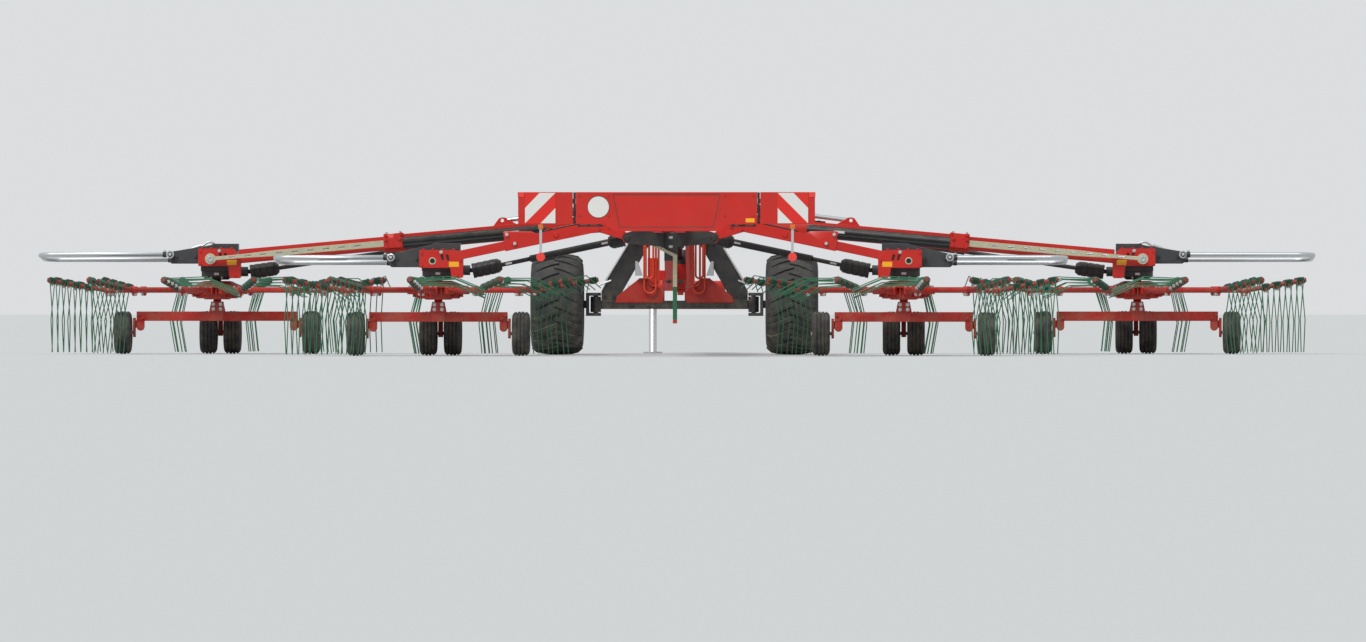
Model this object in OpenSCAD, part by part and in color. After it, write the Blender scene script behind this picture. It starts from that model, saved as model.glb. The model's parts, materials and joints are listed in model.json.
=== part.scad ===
// Trailed four-rotor hay rake, lowered to work and parked on its own wheels and jack.
// X points to the right, Y forward along the direction of travel, Z up from the ground.
// Every sub-part is drawn for the right side; the left one is its mirror image.

/* [Rotor layout] */
// Centre line to a front rotor's hub
front_hub_x = 4390; // [4300:10:4500]
// Front rotor hubs ahead of the origin
front_hub_y = 1650; // [1620:10:1750]
// Hub to the outermost tine of a front rotor
front_reach = 1640; // [1560:10:1660]
// Centre line to a rear rotor's hub
rear_hub_x = 2160; // [2140:10:2240]
// Rear rotor hubs behind the origin
rear_hub_back = 1750; // [1720:10:1800]
// Hub to the outermost tine of a rear rotor
rear_reach = 1475; // [1420:5:1490]
// Tine arms on a front rotor
front_arms = 12; // [10:1:14]
// Tine arms on a rear rotor
rear_arms = 11; // [9:1:12]

/* [Rotor and tines] */
// Height of the tine arms at the hub
tine_arm_z = 610; // [580:5:630]
// Diameter of a tine arm tube
tine_arm_d = 54; // [44:1:60]
// Length of the outer section that carries the tines
tine_section = 560; // [480:10:620]
// Upward slope of the outer section
tine_section_rise = 10; // [4:1:14]
// Double tines on each arm
tine_pairs = 4; // [3:1:5]
// Spacing of the double tines
tine_pitch = 115; // [100:1:130]
// Distance between the two wires of a double tine
tine_gap = 57; // [40:1:64]
// Diameter of a tine wire
tine_d = 10; // [8:0.5:12]
// Radius of a tine's coil
tine_coil_r = 34; // [30:1:38]
// Backward lean of a lowered tine above its bend
tine_lean = 14; // [8:1:18]
// Forward lean of a lowered tine below its bend
tine_hook = 8; // [0:1:15]
// Share of a tine that lies above its bend
tine_bend = 0.55; // [0.4:0.05:0.7]
// Height of the tine tips above the ground
tine_tip_z = 15; // [10:1:40]
// Turn of a lifted arm about its own length
tine_lift = 76; // [60:1:80]
// Radius of the rotor hub
hub_r = 205; // [170:5:230]
// Radius of the rotor's cover
cover_r = 250; // [230:5:270]
// Radius of the fixed axle inside the rotor
axle_r = 38; // [30:1:45]
// Running gap between the rotor and its axle
axle_gap = 0.5; // [0.3:0.1:2]

/* [Rotor undercarriage] */
// Half length of a front rotor's wheel beam
front_beam_half = 727; // [700:1:760]
// Half length of a rear rotor's wheel beam
rear_beam_half = 600; // [580:1:640]
// Height of a wheel beam's lower face
wheel_beam_z = 315; // [300:5:330]
// Depth of a wheel beam
wheel_beam_h = 90; // [70:1:100]
// Rotor centre to an end wheel of a front rotor
front_track = 900; // [870:1:930]
// Rotor centre to an end wheel of a rear rotor
rear_track = 768; // [745:1:800]
// Diameter of a rotor wheel
small_wheel_d = 410; // [390:5:430]
// Width of a rotor wheel's tyre
small_wheel_w = 165; // [140:1:175]
// Twin wheels ahead of the rotor centre
twin_ahead = 620; // [560:5:660]
// Gap between the twin wheels
twin_gap = 64; // [58:1:90]

/* [Front arm] */
// Centre line to the front fold pivots
front_pivot_x = 320; // [310:5:340]
// Height of the front fold pivots
front_pivot_z = 1330; // [1320:5:1345]
// Downward slope of the front arms
front_slope = 5.05; // [4.8:0.05:5.3]
// Beam centre below the front pivot
front_beam_drop = 60; // [50:1:70]
// Outer length of the front sleeve
front_sleeve_l = 2410; // [2300:10:2450]
// Height of the front sleeve
front_sleeve_h = 152; // [140:1:160]
// Width of the front sleeve
front_sleeve_w = 130; // [120:1:140]

/* [Rear arm] */
// Centre line to the rear fold pivots
rear_pivot_x = 400; // [380:5:420]
// Height of the rear fold pivots
rear_pivot_z = 1090; // [1080:5:1100]
// Downward slope of the rear arms and their drive shafts
rear_slope = 11.86; // [11.5:0.1:12.2]
// Beam centre above the rear pivot
rear_beam_rise = 165; // [155:1:175]
// Length of the rear sleeve
rear_sleeve_l = 1060; // [1000:10:1090]
// Height of the rear sleeve
rear_sleeve_h = 104; // [96:1:110]
// Width of the rear sleeve
rear_sleeve_w = 110; // [100:1:116]

/* [Arm details] */
// Wall of the box sections
box_wall = 7; // [5:0.5:8]
// Sliding gap around an inner tube
slide_gap = 3; // [2:0.5:4]
// Gap at the wear pads of an inner tube
pad_gap = 0.3; // [0.2:0.1:1]
// Arms behind their rotor hubs
arm_back = 235; // [230:1:245]
// Radius of the fold pins
fold_pin_r = 25; // [20:1:30]
// Gap between a pin and its bore
pin_gap = 0.3; // [0.2:0.1:1]

/* [Drive shafts] */
// Outer radius of a guard tube
guard_tube_r = 32; // [31:1:42]
// Inner radius of a guard tube
guard_bore_r = 28.5; // [28:0.5:35]
// Radius of an inner shaft guard
shaft_r = 20; // [18:1:24]
// Radius of a joint bell
bell_r = 64; // [50:1:66]
// Hub to the shaft joint at the rotor gearbox
joint_in = 350; // [340:5:360]
// Height of the front gearbox inputs
front_input_z = 786; // [776:2:796]

/* [Guard hoops] */
// Diameter of the hoop tube
hoop_d = 44; // [38:1:48]
// Half width of a hoop
hoop_half = 450; // [420:5:480]
// Hub to the hoop hinge
hoop_hinge_x = 425; // [415:5:435]
// Hub to the outer end of a front hoop
front_hoop_x = 1690; // [1650:10:1720]
// Hub to the outer end of a rear hoop
rear_hoop_x = 1520; // [1490:10:1560]
// Height of the front hoop hinge
front_hoop_z = 924; // [915:1:930]
// Height of the rear hoop hinge
rear_hoop_z = 888; // [880:1:895]
// Sideways tilt of the hoops
hoop_tilt = 3; // [0:0.5:4]
// Corner radius of a hoop
hoop_corner = 150; // [110:5:180]

/* [Chassis] */
// Height of the frame rails' lower face
rail_z = 1140; // [1130:1:1150]
// Depth of the frame rails
rail_h = 150; // [130:1:160]
// Centre line to a rail's inner face
rail_in = 62; // [58:1:70]
// Width of a rail
rail_w = 80; // [70:1:85]
// Axle ahead of the origin
axle_y = 300; // [280:5:340]
// Transport wheel diameter
wheel_d = 950; // [930:5:960]
// Transport wheel width
wheel_w = 495; // [450:5:500]
// Lugs on each half of a transport tyre
lug_count = 22; // [16:1:26]
// Height of the lugs
lug_height = 20; // [10:1:28]
// Centre line to a transport wheel's middle
wheel_x = 1107; // [1095:1:1130]
// Centre line to a steering pivot
kingpin_x = 745; // [735:1:750]
// Lower hitch pins ahead of the origin
hitch_y = 4130; // [4100:5:4160]
// Height of the hitch pins
hitch_z = 650; // [630:5:680]
// Hitch turning pin ahead of the origin
turn_y = 3750; // [3740:5:3760]

/* [Light panel] */
// Rear face of the light panel behind the origin
panel_back = 4195; // [4150:5:4220]
// Half width of the light panel
panel_half = 1350; // [1330:5:1400]
// Centre line to the wing hinges
wing_hinge_x = 825; // [800:5:850]
// Lower edge of the middle panel
panel_low = 1145; // [1120:5:1180]
// Upper edge of the panel
panel_top = 1500; // [1480:5:1520]
// Lower edge of the wings
wing_low = 1210; // [1200:5:1230]

/* [Hidden] */
$fn = 48;
rear_hub_y = -rear_hub_back;
function pick(front, a, b) = front ? a : b;

red = "#c8202a";
dark = "#33383d";
black = "#1c1d1f";
silver = "#c4c8ca";
hose_red = "#c8431f";

// Arm frames
front_arm_y = front_hub_y - arm_back;
rear_arm_y = rear_hub_y - arm_back;
sleeve_start = 70;
tube_gap = 2 * (box_wall + slide_gap);
front_tube_h = front_sleeve_h - tube_gap;
front_tube_w = front_sleeve_w - tube_gap;
rear_tube_h = rear_sleeve_h - tube_gap;
rear_tube_w = rear_sleeve_w - tube_gap;
pad_l = 70;            // wear pads at the tube's inner end and the sleeve's mouth
front_tube_start = 1330;
rear_tube_start = 560;
lug_u = 1340;          // front pivot to the lift lug, along the arm
lug_up = 60;           // lift lug above the line through the front pivot
barrel_r = 42;         // lift cylinder
rod_r = 22;
lug_slab = rod_r + 1;  // middle of the lift rod to a lug plate
lug_t = 16;
anchor_x = 130;        // lift cylinder's pin on the tower
anchor_z = 1462;

// Front drive shaft: from the fold axis to the rotor gearbox
front_joint_x = front_hub_x - joint_in;
front_shaft_run = front_joint_x - front_pivot_x;
front_shaft_fall = front_pivot_z - front_input_z;
front_shaft_l = norm([front_shaft_run, front_shaft_fall]);
front_shaft_slope = atan2(front_shaft_fall, front_shaft_run);
// Rear drive shaft: parallel to its arm
rear_joint_x = rear_hub_x - joint_in;
rear_shaft_l = (rear_joint_x - rear_pivot_x) / cos(rear_slope);
rear_input_z = rear_pivot_z - (rear_joint_x - rear_pivot_x) * tan(rear_slope);
joint_gap = 34;        // bell's open end to the joint's centre
cross_r = 16;          // joint's cross pin
cross_gap = 0.3;
front_guard_end = 2450;
front_shaft_start = front_shaft_l - 2400;
rear_guard_end = 930;
rear_shaft_start = 500;

// Lift cylinder: from the tower's pin to the lug's hole
lift_end_x = front_pivot_x + lug_u * cos(front_slope) + lug_up * sin(front_slope);
lift_end_z = front_pivot_z - lug_u * sin(front_slope) + lug_up * cos(front_slope);
lift_l = norm([lift_end_x - anchor_x, lift_end_z - anchor_z]);
lift_angle = atan2(anchor_z - lift_end_z, lift_end_x - anchor_x);

gear_half = 150;
small_r = small_wheel_d / 2;
wheel_r = wheel_d / 2;

// Mirrors what is drawn for the right onto the given side.
module side(s) {
    if (s > 0) children();
    else mirror([1, 0, 0]) children();
}

// Lays a cylinder along X from x0 to x1.
module bar_x(x0, x1, r) {
    translate([x0, 0, 0]) rotate([0, 90, 0]) cylinder(r = r, h = x1 - x0);
}

// Lays a cylinder along Y from y0 to y1.
module bar_y(y0, y1, r) {
    translate([0, y0, 0]) rotate([-90, 0, 0]) cylinder(r = r, h = y1 - y0);
}

// A box given by its lowest and highest corner.
module block(lo, hi) {
    translate(lo) cube(hi - lo);
}

// A plate cut to an outline in X and Z, standing from y0 to y1.
module plate_xz(y0, y1, points) {
    translate([0, y1, 0]) rotate([90, 0, 0]) linear_extrude(y1 - y0) polygon(points);
}

// A plate cut to an outline in Y and Z, standing from x0 to x1.
module plate_yz(x0, x1, points) {
    translate([x0, 0, 0]) rotate([90, 0, 90]) linear_extrude(x1 - x0) polygon(points);
}

module at_front_arm() {
    translate([front_pivot_x, front_arm_y, front_pivot_z]) rotate([0, front_slope, 0]) children();
}

module at_rear_arm() {
    translate([rear_pivot_x, rear_arm_y, rear_pivot_z]) rotate([0, rear_slope, 0]) children();
}

module at_hub(front) {
    translate([pick(front, front_hub_x, rear_hub_x), pick(front, front_hub_y, rear_hub_y), 0])
        children();
}

// Wheel of revolution about X: a chamfered tyre with a bore for its stub.
module small_wheel(bore) {
    half = small_wheel_w / 2;
    shoulder = 22;
    rotate([0, 90, 0]) rotate_extrude()
        polygon([[bore, -half + 25], [70, -half + 25], [100, -half], [small_r - shoulder, -half],
                 [small_r, -half + shoulder], [small_r, half - shoulder],
                 [small_r - shoulder, half], [100, half], [70, half - 25], [bore, half - 25]]);
}

// Tyre of a transport wheel, open for its rim.
rim_r = 225;
module transport_tyre(s) {
    half = wheel_w / 2;
    color(black) side(s) translate([wheel_x, axle_y, wheel_r]) rotate([0, 90, 0])
        rotate_extrude()
            polygon([[rim_r, -half + 40], [rim_r + 60, -half], [tread_r - 60, -half],
                     [tread_r, -half + 70], [tread_r, half - 70], [tread_r - 60, half],
                     [rim_r + 60, half], [rim_r, half - 40]]);
    color(black) side(s) translate([wheel_x, axle_y, wheel_r]) rotate([0, 90, 0])
        for (i = [0 : lug_count - 1], m = [0, 1])
            rotate((i + m / 2) * 360 / lug_count) mirror([0, 0, m]) lug();
}

// One lug, in two straight runs from the tyre's middle to its shoulder.
tread_r = wheel_r - lug_height;
lug_half = 19;
module lug() {
    // Columns: turn round the tyre, radius and place across it, slant, fall, half length.
    runs = [[3.7, wheel_r - 2.6, 59, 23.2, 0, 79], [10.7, wheel_r - 29, 178, 27, 25, 56]];
    for (t = runs) rotate(t[0]) translate([t[1], 0, t[2]]) rotate([-t[3], 0, 0]) rotate([0, -t[4], 0])
        block([-lug_height - 16, -lug_half, -t[5]], [0, lug_half, t[5]]);
}

spindle_r = 36;
module transport_rim(s) {
    half = wheel_w / 2 - 40;
    color(silver) side(s) translate([wheel_x, axle_y, wheel_r]) rotate([0, 90, 0])
        rotate_extrude()
            polygon([[spindle_r + pin_gap, 0], [110, 0], [110, 30], [rim_r - 12, 60],
                     [rim_r - 12, half], [rim_r, half], [rim_r, -half], [rim_r - 12, -half],
                     [rim_r - 12, 30], [spindle_r + pin_gap, -60]]);
}

king_r = 22;
king_boss = 50;
knuckle_top = wheel_r + 110;
knuckle_low = wheel_r - 110;
module knuckle(s) {
    plate_t = 30;
    inner = kingpin_x + 62;
    color(dark) side(s) translate([0, axle_y, 0]) {
        difference() {
            union() {
                for (z = [knuckle_low, knuckle_top - plate_t]) {
                    translate([kingpin_x, 0, z]) cylinder(r = king_boss, h = plate_t);
                    block([kingpin_x, -king_boss, z], [inner + plate_t, king_boss, z + plate_t]);
                }
                block([inner, -60, knuckle_low], [inner + plate_t, 60, knuckle_top]);
            }
            translate([kingpin_x, 0, knuckle_low - 1])
                cylinder(r = king_r + pin_gap, h = knuckle_top - knuckle_low + 2);
        }
        translate([0, 0, wheel_r]) bar_x(inner + plate_t, wheel_x + 60, spindle_r);
    }
}

// Black axle with its legs up to the frame and the steering pins.
axle_low = 430;
axle_top = 510;
axle_half = 690;
module axle_frame() {
    leg = [[210, rail_z - 50], [430, rail_z - 50], [axle_half, 600], [axle_half, axle_top],
           [490, axle_top], [490, 600]];
    color(black) translate([0, axle_y, 0]) {
        block([-axle_half, -75, axle_low], [axle_half, 75, axle_top]);
        block([-430, -60, rail_z - 50], [430, 60, rail_z]);
        for (s = [1, -1]) side(s) {
            plate_xz(-60, 60, leg);
            translate([kingpin_x, 0, knuckle_low + 36])
                cylinder(r = king_boss, h = knuckle_top - knuckle_low - 72);
            translate([kingpin_x, 0, knuckle_low]) cylinder(r = king_r, h = 2 * (wheel_r - knuckle_low));
            block([axle_half - 5, -45, axle_low], [kingpin_x, 45, axle_top]);
            plate_xz(-skirt_back, -skirt_back + 10,
                     [[socket_half, axle_top - 20], [560, axle_top - 20], [545, axle_top + 40],
                      [330, 722], [250, 722], [socket_half, 600]]);
            translate([650, -62, 700]) rotate([0, -leg_rod_tilt, 0]) cylinder(r = 9, h = leg_rod_l);
            block([socket_half - 20, -skirt_back + 5, axle_top - 1], [socket_half, 20, 700]);
            translate([52, 0, 690]) bar_y(-skirt_back - 25, 20, 20);
        }
        block([-socket_half, -skirt_back + 5, 682], [socket_half, 20, 700]);
    }
}
skirt_back = 82;       // rear face of the sloping plates behind the axle's middle
socket_half = 115;     // half width of the bracket with the coupling sockets
leg_rod_tilt = 31.4;   // along a leg's outer edge
leg_rod_l = 420;

// Red frame: twin rails, sloping nose, fold brackets and the tower for the lift cylinders.
nose_boss_r = 70;
nose_low = 620;
nose_top = 800;
nose_end = 3620;
saddle_z = 860;
turn_pin_r = 30;
clevis_gap = 6;
clevis_t = 18;
tower_gap = 24;
jack_x = 260;
jack_y = 3250;
jack_r = 38;
rail_back = panel_back - 60;
rail_front = 2700;
module main_frame() {
    nose = [[rail_front - 100, rail_z + rail_h], [rail_front - 100, rail_z], [3300, nose_low],
            [nose_end, nose_low], [nose_end, saddle_z], [3430, saddle_z]];
    // Cross ties between the rails: start along Y, low and high face.
    ties = [[-rail_back, 1150, 1220], [-2700, 1150, 1220], [-1500, 1150, 1220], [0, 1142, 1172],
            [1000, 1150, 1220], [2450, 1215, 1285]];
    color(red) {
        for (s = [1, -1]) side(s) {
            block([rail_in, -rail_back, rail_z], [rail_in + rail_w, rail_front, rail_z + rail_h]);
            plate_yz(rail_in, rail_in + rail_w, nose);
            front_bracket();
            rear_bracket();
            tower();
        }
        block([-rail_in - 1, 3400, nose_low], [rail_in + 1, nose_end, saddle_z]);
        block([-60, nose_end - 1, nose_low], [60, turn_y, nose_top]);
        translate([0, turn_y, nose_low]) cylinder(r = nose_boss_r, h = nose_top - nose_low);
        translate([0, turn_y, nose_low - 60]) cylinder(r = turn_pin_r, h = nose_top - nose_low + 120);
        for (t = ties) block([-rail_in - 1, t[0], t[1]], [rail_in + 1, t[0] + 100, t[2]]);
        jack_sleeve();
    }
}

// Sleeve that holds the parking jack beside the nose.
jack_clear = 1;
module jack_sleeve() {
    difference() {
        union() {
            translate([-jack_x, jack_y, 500]) cylinder(r = jack_r + 12, h = 420);
            block([-jack_x, jack_y - 40, 700], [-rail_in - rail_w + 1, jack_y + 40, 800]);
        }
        translate([-jack_x, jack_y, 499]) cylinder(r = jack_r + jack_clear, h = 422);
    }
}

// Clevis and pin that carry a front arm.
module front_bracket() {
    half = front_sleeve_w / 2 + clevis_gap;
    outline = [[rail_in + rail_w - 1, rail_z], [front_pivot_x - 30, front_pivot_z - 95],
               [front_pivot_x + 55, front_pivot_z - 40], [front_pivot_x + 55, front_pivot_z + 50],
               [front_pivot_x - 60, front_pivot_z + 50], [rail_in + rail_w - 1, rail_z + rail_h]];
    for (y = [front_arm_y - half - clevis_t, front_arm_y + half]) plate_xz(y, y + clevis_t, outline);
    translate([front_pivot_x, front_arm_y, front_pivot_z])
        bar_y(-half - clevis_t - 12, half + clevis_t + 12, fold_pin_r);
}

// Clevis and pin that carry a rear arm.
module rear_bracket() {
    half = rear_sleeve_w / 2 + clevis_gap;
    outline = [[rail_in, rail_z + 60], [rail_in, rail_z - 130], [rear_pivot_x, rear_pivot_z - 50],
               [rear_pivot_x + 50, rear_pivot_z], [rear_pivot_x + 30, rear_pivot_z + 45],
               [rail_in + rail_w + 60, rail_z + 60]];
    for (y = [rear_arm_y - half - clevis_t, rear_arm_y + half]) plate_xz(y, y + clevis_t, outline);
    translate([rear_pivot_x, rear_arm_y, rear_pivot_z])
        bar_y(-half - clevis_t - 12, half + clevis_t + 12, fold_pin_r);
}

// Tower plates and pin for a front lift cylinder.
module tower() {
    outline = [[rail_in, rail_z + rail_h - 1], [rail_in + rail_w, rail_z + rail_h - 1],
               [anchor_x + 35, anchor_z - 20], [anchor_x + 35, anchor_z + 25],
               [anchor_x - 35, anchor_z + 35], [rail_in, anchor_z - 40]];
    for (y = [front_arm_y - tower_gap - 16, front_arm_y + tower_gap]) plate_xz(y, y + 16, outline);
    translate([anchor_x, front_arm_y, anchor_z]) bar_y(-tower_gap - 16, tower_gap + 16, lift_pin_r);
}

// A box centred on X with a given width and height.
module bar_box(x0, x1, w, h) {
    block([x0, -w / 2, -h / 2], [x1, w / 2, h / 2]);
}

// Room inside a sleeve for a tube, narrowed by wear pads at the mouth.
module sleeve_bore(start, end, w, h) {
    bar_box(start, end - pad_l, w + 2 * slide_gap, h + 2 * slide_gap);
    bar_box(start, end + 1, w + 2 * pad_gap, h + 2 * pad_gap);
}

// Inner tube of an arm, with wear pads around its inner end.
module arm_tube(start, end, w, h) {
    pad = 2 * (slide_gap - pad_gap);
    bar_box(start, end, w, h);
    bar_box(start + 5, start + pad_l, w + pad, h + pad);
}

// Extension cylinder and slotted guide bar behind a front arm, measured from the arm's middle.
slide_back = 115;      // cylinder's axis
slide_start = 930;     // cylinder's inner end along the arm
slide_r = 37;
slide_rod_r = 20;
bar_back = 166;        // guide bar's front face
bar_t = 12;
bar_half = 30;         // half depth of the bar at its inner end
bar_thin = 17;         // half depth at its outer end
guide_half = 48;       // half depth of the guide on the sleeve
bar_start = 2310;
eye_r = 52;
ring_r = 29;
ring_out = 45;         // hub to the ring that holds the bar
bar_end = (front_hub_x + ring_out - front_pivot_x + front_beam_drop * sin(front_slope)) / cos(front_slope);

// Rod and guide bar of a front arm, held by a ring on the head.
module slide_bar() {
    translate([0, -slide_back, 0]) bar_x(2080, bar_end, slide_rod_r);
    difference() {
        union() {
            plate_xz(-bar_back - bar_t, -bar_back,
                [[bar_start, -bar_half], [3500, -bar_half + 1], [3900, -bar_thin], [bar_end, -bar_thin],
                 [bar_end, bar_thin], [3900, bar_thin], [3500, bar_half - 1], [bar_start, bar_half]]);
            translate([bar_end, -bar_back - bar_t, 0]) bar_y(0, bar_t, eye_r);
        }
        for (u = [2700 : 150 : 3900])
            translate([u, -bar_back - bar_t - 1, 0]) block([0, 0, -7], [60, bar_t + 2, 7]);
    }
    difference() {
        translate([bar_end, 0, 0]) bar_y(-bar_back - bar_t - 8, -head_half + 1, ring_r);
        translate([bar_end, 0, 0]) bar_y(-bar_back - bar_t - 9, -bar_back, ring_r / 2);
    }
}

// Front sleeve with its hinge ears, end collar, lift lug and extension cylinder.
lift_pin_r = 16;
module front_arm(s) {
    w = front_sleeve_w;
    h = front_sleeve_h;
    end = sleeve_start + front_sleeve_l;
    color(red) side(s) at_front_arm() difference() {
        union() {
            translate([0, 0, -front_beam_drop]) {
                block([sleeve_start, -w / 2, -h / 2], [end, w / 2, h / 2]);
                block([end - 190, -w / 2 - 10, -h / 2 - 12], [end, w / 2 + 10, h / 2 + 12]);
                translate([0, -slide_back, 0]) bar_x(slide_start, end - 150, slide_r);
                for (u = [slide_start + 20, 1600])
                    block([u, -slide_back, -slide_r - 8], [u + 60, -w / 2 + 1, slide_r + 8]);
                block([end - 180, -bar_back - 20, -guide_half], [end, -w / 2 - 9, guide_half]);
                plate_xz(-bar_back - 20, -w / 2 - 9, [[end - 160, guide_half - 1], [end - 90, guide_half - 1],
                         [end - 105, guide_half + 40], [end - 145, guide_half + 40]]);
            }
            rotate([-90, 0, 0]) translate([0, 0, -w / 2]) cylinder(r = 52, h = w);
            block([0, -w / 2, -52], [sleeve_start + 60, w / 2, 50]);
            for (y = [-lug_slab - lug_t, lug_slab]) plate_xz(y, y + lug_t,
                [[lug_u - 130, -front_beam_drop + h / 2 - 1], [lug_u + 90, -front_beam_drop + h / 2 - 1],
                 [lug_u + 30, lug_up + 26], [lug_u - 30, lug_up + 26]]);
        }
        rotate([-90, 0, 0]) translate([0, 0, -w]) cylinder(r = fold_pin_r + pin_gap, h = 2 * w);
        translate([0, 0, -front_beam_drop])
            sleeve_bore(sleeve_start + 70, end, front_tube_w, front_tube_h);
        translate([lug_u, 0, lug_up]) bar_y(-w, w, lift_pin_r + pin_gap);
        translate([0, -slide_back, -front_beam_drop]) bar_x(slide_start + 40, end + 1, slide_rod_r + 0.5);
        translate([0, 0, -front_beam_drop])
            block([end - 181, -bar_back - bar_t - slide_gap, -bar_half - slide_gap],
                  [end + 1, -bar_back + slide_gap, bar_half + slide_gap]);
    }
}

// Rear sleeve, carried above its pivot by two ears.
module rear_arm(s) {
    w = rear_sleeve_w;
    h = rear_sleeve_h;
    end = sleeve_start + rear_sleeve_l;
    ear_t = 20;
    gusset_low = rear_beam_rise + h / 2 - 1;
    color(red) side(s) at_rear_arm() difference() {
        union() {
            translate([0, 0, rear_beam_rise])
                block([sleeve_start - 20, -w / 2, -h / 2], [end, w / 2, h / 2]);
            for (y = [-w / 2, w / 2 - ear_t]) {
                plate_xz(y, y + ear_t, [[-48, 0], [48, 0], [260, rear_beam_rise - h / 2 + 1],
                                        [sleeve_start - 20, rear_beam_rise - h / 2 + 1]]);
                translate([0, y, 0]) rotate([-90, 0, 0]) cylinder(r = 48, h = ear_t);
                plate_xz(y, y + ear_t, [[820, gusset_low], [858, gusset_low + 30], [1095, gusset_low + 80],
                                        [1115, gusset_low + 76], [1115, gusset_low]]);
            }
            translate([1085, 0, gusset_low + 46]) bar_y(-w / 2 - 12, w / 2 + 12, 15);
            for (u = [640, 1030]) translate([u, 0, rear_beam_rise]) {
                bar_y(-w / 2 - 10, -w / 2 + 1, 24);
                bar_y(w / 2 - 1, w / 2 + 10, 24);
            }
        }
        rotate([-90, 0, 0]) translate([0, 0, -w]) cylinder(r = fold_pin_r + pin_gap, h = 2 * w);
        translate([0, 0, rear_beam_rise])
            sleeve_bore(sleeve_start + 10, end, rear_tube_w, rear_tube_h);
    }
}

// Inner tube, head box and the rotor's fixed axle with its wheel beam.
head_in = 239;
head_out = 167;
head_low = 722;
module carrier(front, s) {
    head_top = pick(front, 1003, 980);
    color(red) side(s) {
        if (front) at_front_arm() translate([0, 0, -front_beam_drop]) {
            arm_tube(front_tube_start, (front_hub_x - head_in + 20 - front_pivot_x) / cos(front_slope),
                     front_tube_w, front_tube_h);
            slide_bar();
        }
        else at_rear_arm() translate([0, 0, rear_beam_rise])
            arm_tube(rear_tube_start, (rear_hub_x - head_in + 20 - rear_pivot_x) / cos(rear_slope),
                     rear_tube_w, rear_tube_h);
        at_hub(front) {
            head_box(head_top);
            undercarriage(front);
        }
    }
}

// Red box at the arm's end with its bracket to the gearbox. Shallow slots and a hole open its rear face.
head_half = 60;
module head_box(top) {
    difference() {
        plate_xz(-arm_back - head_half, -arm_back + head_half,
            [[-head_in + 12, head_low], [-head_in + 92, head_low], [-head_in + 110, head_low + 22],
             [-head_in + 122, top - 165], [head_out, top - 165], [head_out, top], [-head_in + 72, top],
             [-head_in, top - 72], [-head_in, head_low + 14]]);
        for (x = [ring_out - 142, ring_out - 92]) translate([x, -arm_back, top - 69]) rotate([0, 15, 0])
            block([-11, -head_half - 1, -27], [11, -head_half + 14, 27]);
        translate([ring_out, -arm_back, top - 101]) bar_y(-head_half - 1, -head_half + 14, 23);
    }
    block([-60, -arm_back + head_half - 1, top - 168], [100, -gear_half, top - 143]);
}

stub_r = 16;
wheel_side_gap = 8;
hang_z = 222;          // lowest point of the plate that hangs at a beam's end
hang_w = 73;           // its width
hang_out = 42;         // how far it stands out past the beam
module undercarriage(front) {
    half = pick(front, front_beam_half, rear_beam_half);
    track = pick(front, front_track, rear_track);
    face = track - small_wheel_w / 2 - wheel_side_gap;
    top = wheel_beam_z + wheel_beam_h;
    translate([0, 0, top - 1]) cylinder(r = axle_r, h = gear_low - top + 1);
    block([-62, -62, wheel_beam_z], [62, 62, top + 70]);
    block([-half, -45, wheel_beam_z], [half, 45, top]);
    for (x = [1, -1]) side(x) {
        // Rounded plate that hangs at the beam's end, and the wheel's own plate beside it.
        block([half - 1, -45, wheel_beam_z], [half + hang_out, 45, top]);
        block([half + hang_out - hang_w, -40, hang_z + hang_w / 2], [half + hang_out, 40, wheel_beam_z + 1]);
        translate([half + hang_out - hang_w / 2, 0, hang_z + hang_w / 2]) bar_y(-40, 40, hang_w / 2);
        block([half + hang_out - 1, -25, small_r + 45], [face - 20, 25, small_r + 115]);
        plate_yz(face - 30, face - 6, [[-45, small_r + 140], [45, small_r + 140], [42, small_r - 20],
                                       [20, small_r - 45], [-20, small_r - 45], [-42, small_r - 20]]);
        translate([0, 0, small_r]) bar_x(face - 10, track + 55, stub_r);
    }
    block([-26, 40, wheel_beam_z + 15], [26, twin_ahead + 30, wheel_beam_z + 75]);
    block([-22, twin_ahead - 40, small_r - 35], [22, twin_ahead + 30, wheel_beam_z + 20]);
    translate([0, twin_ahead, small_r])
        bar_x(-twin_gap / 2 - small_wheel_w / 2 - 55, twin_gap / 2 + small_wheel_w / 2 + 55, stub_r);
}

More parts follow.
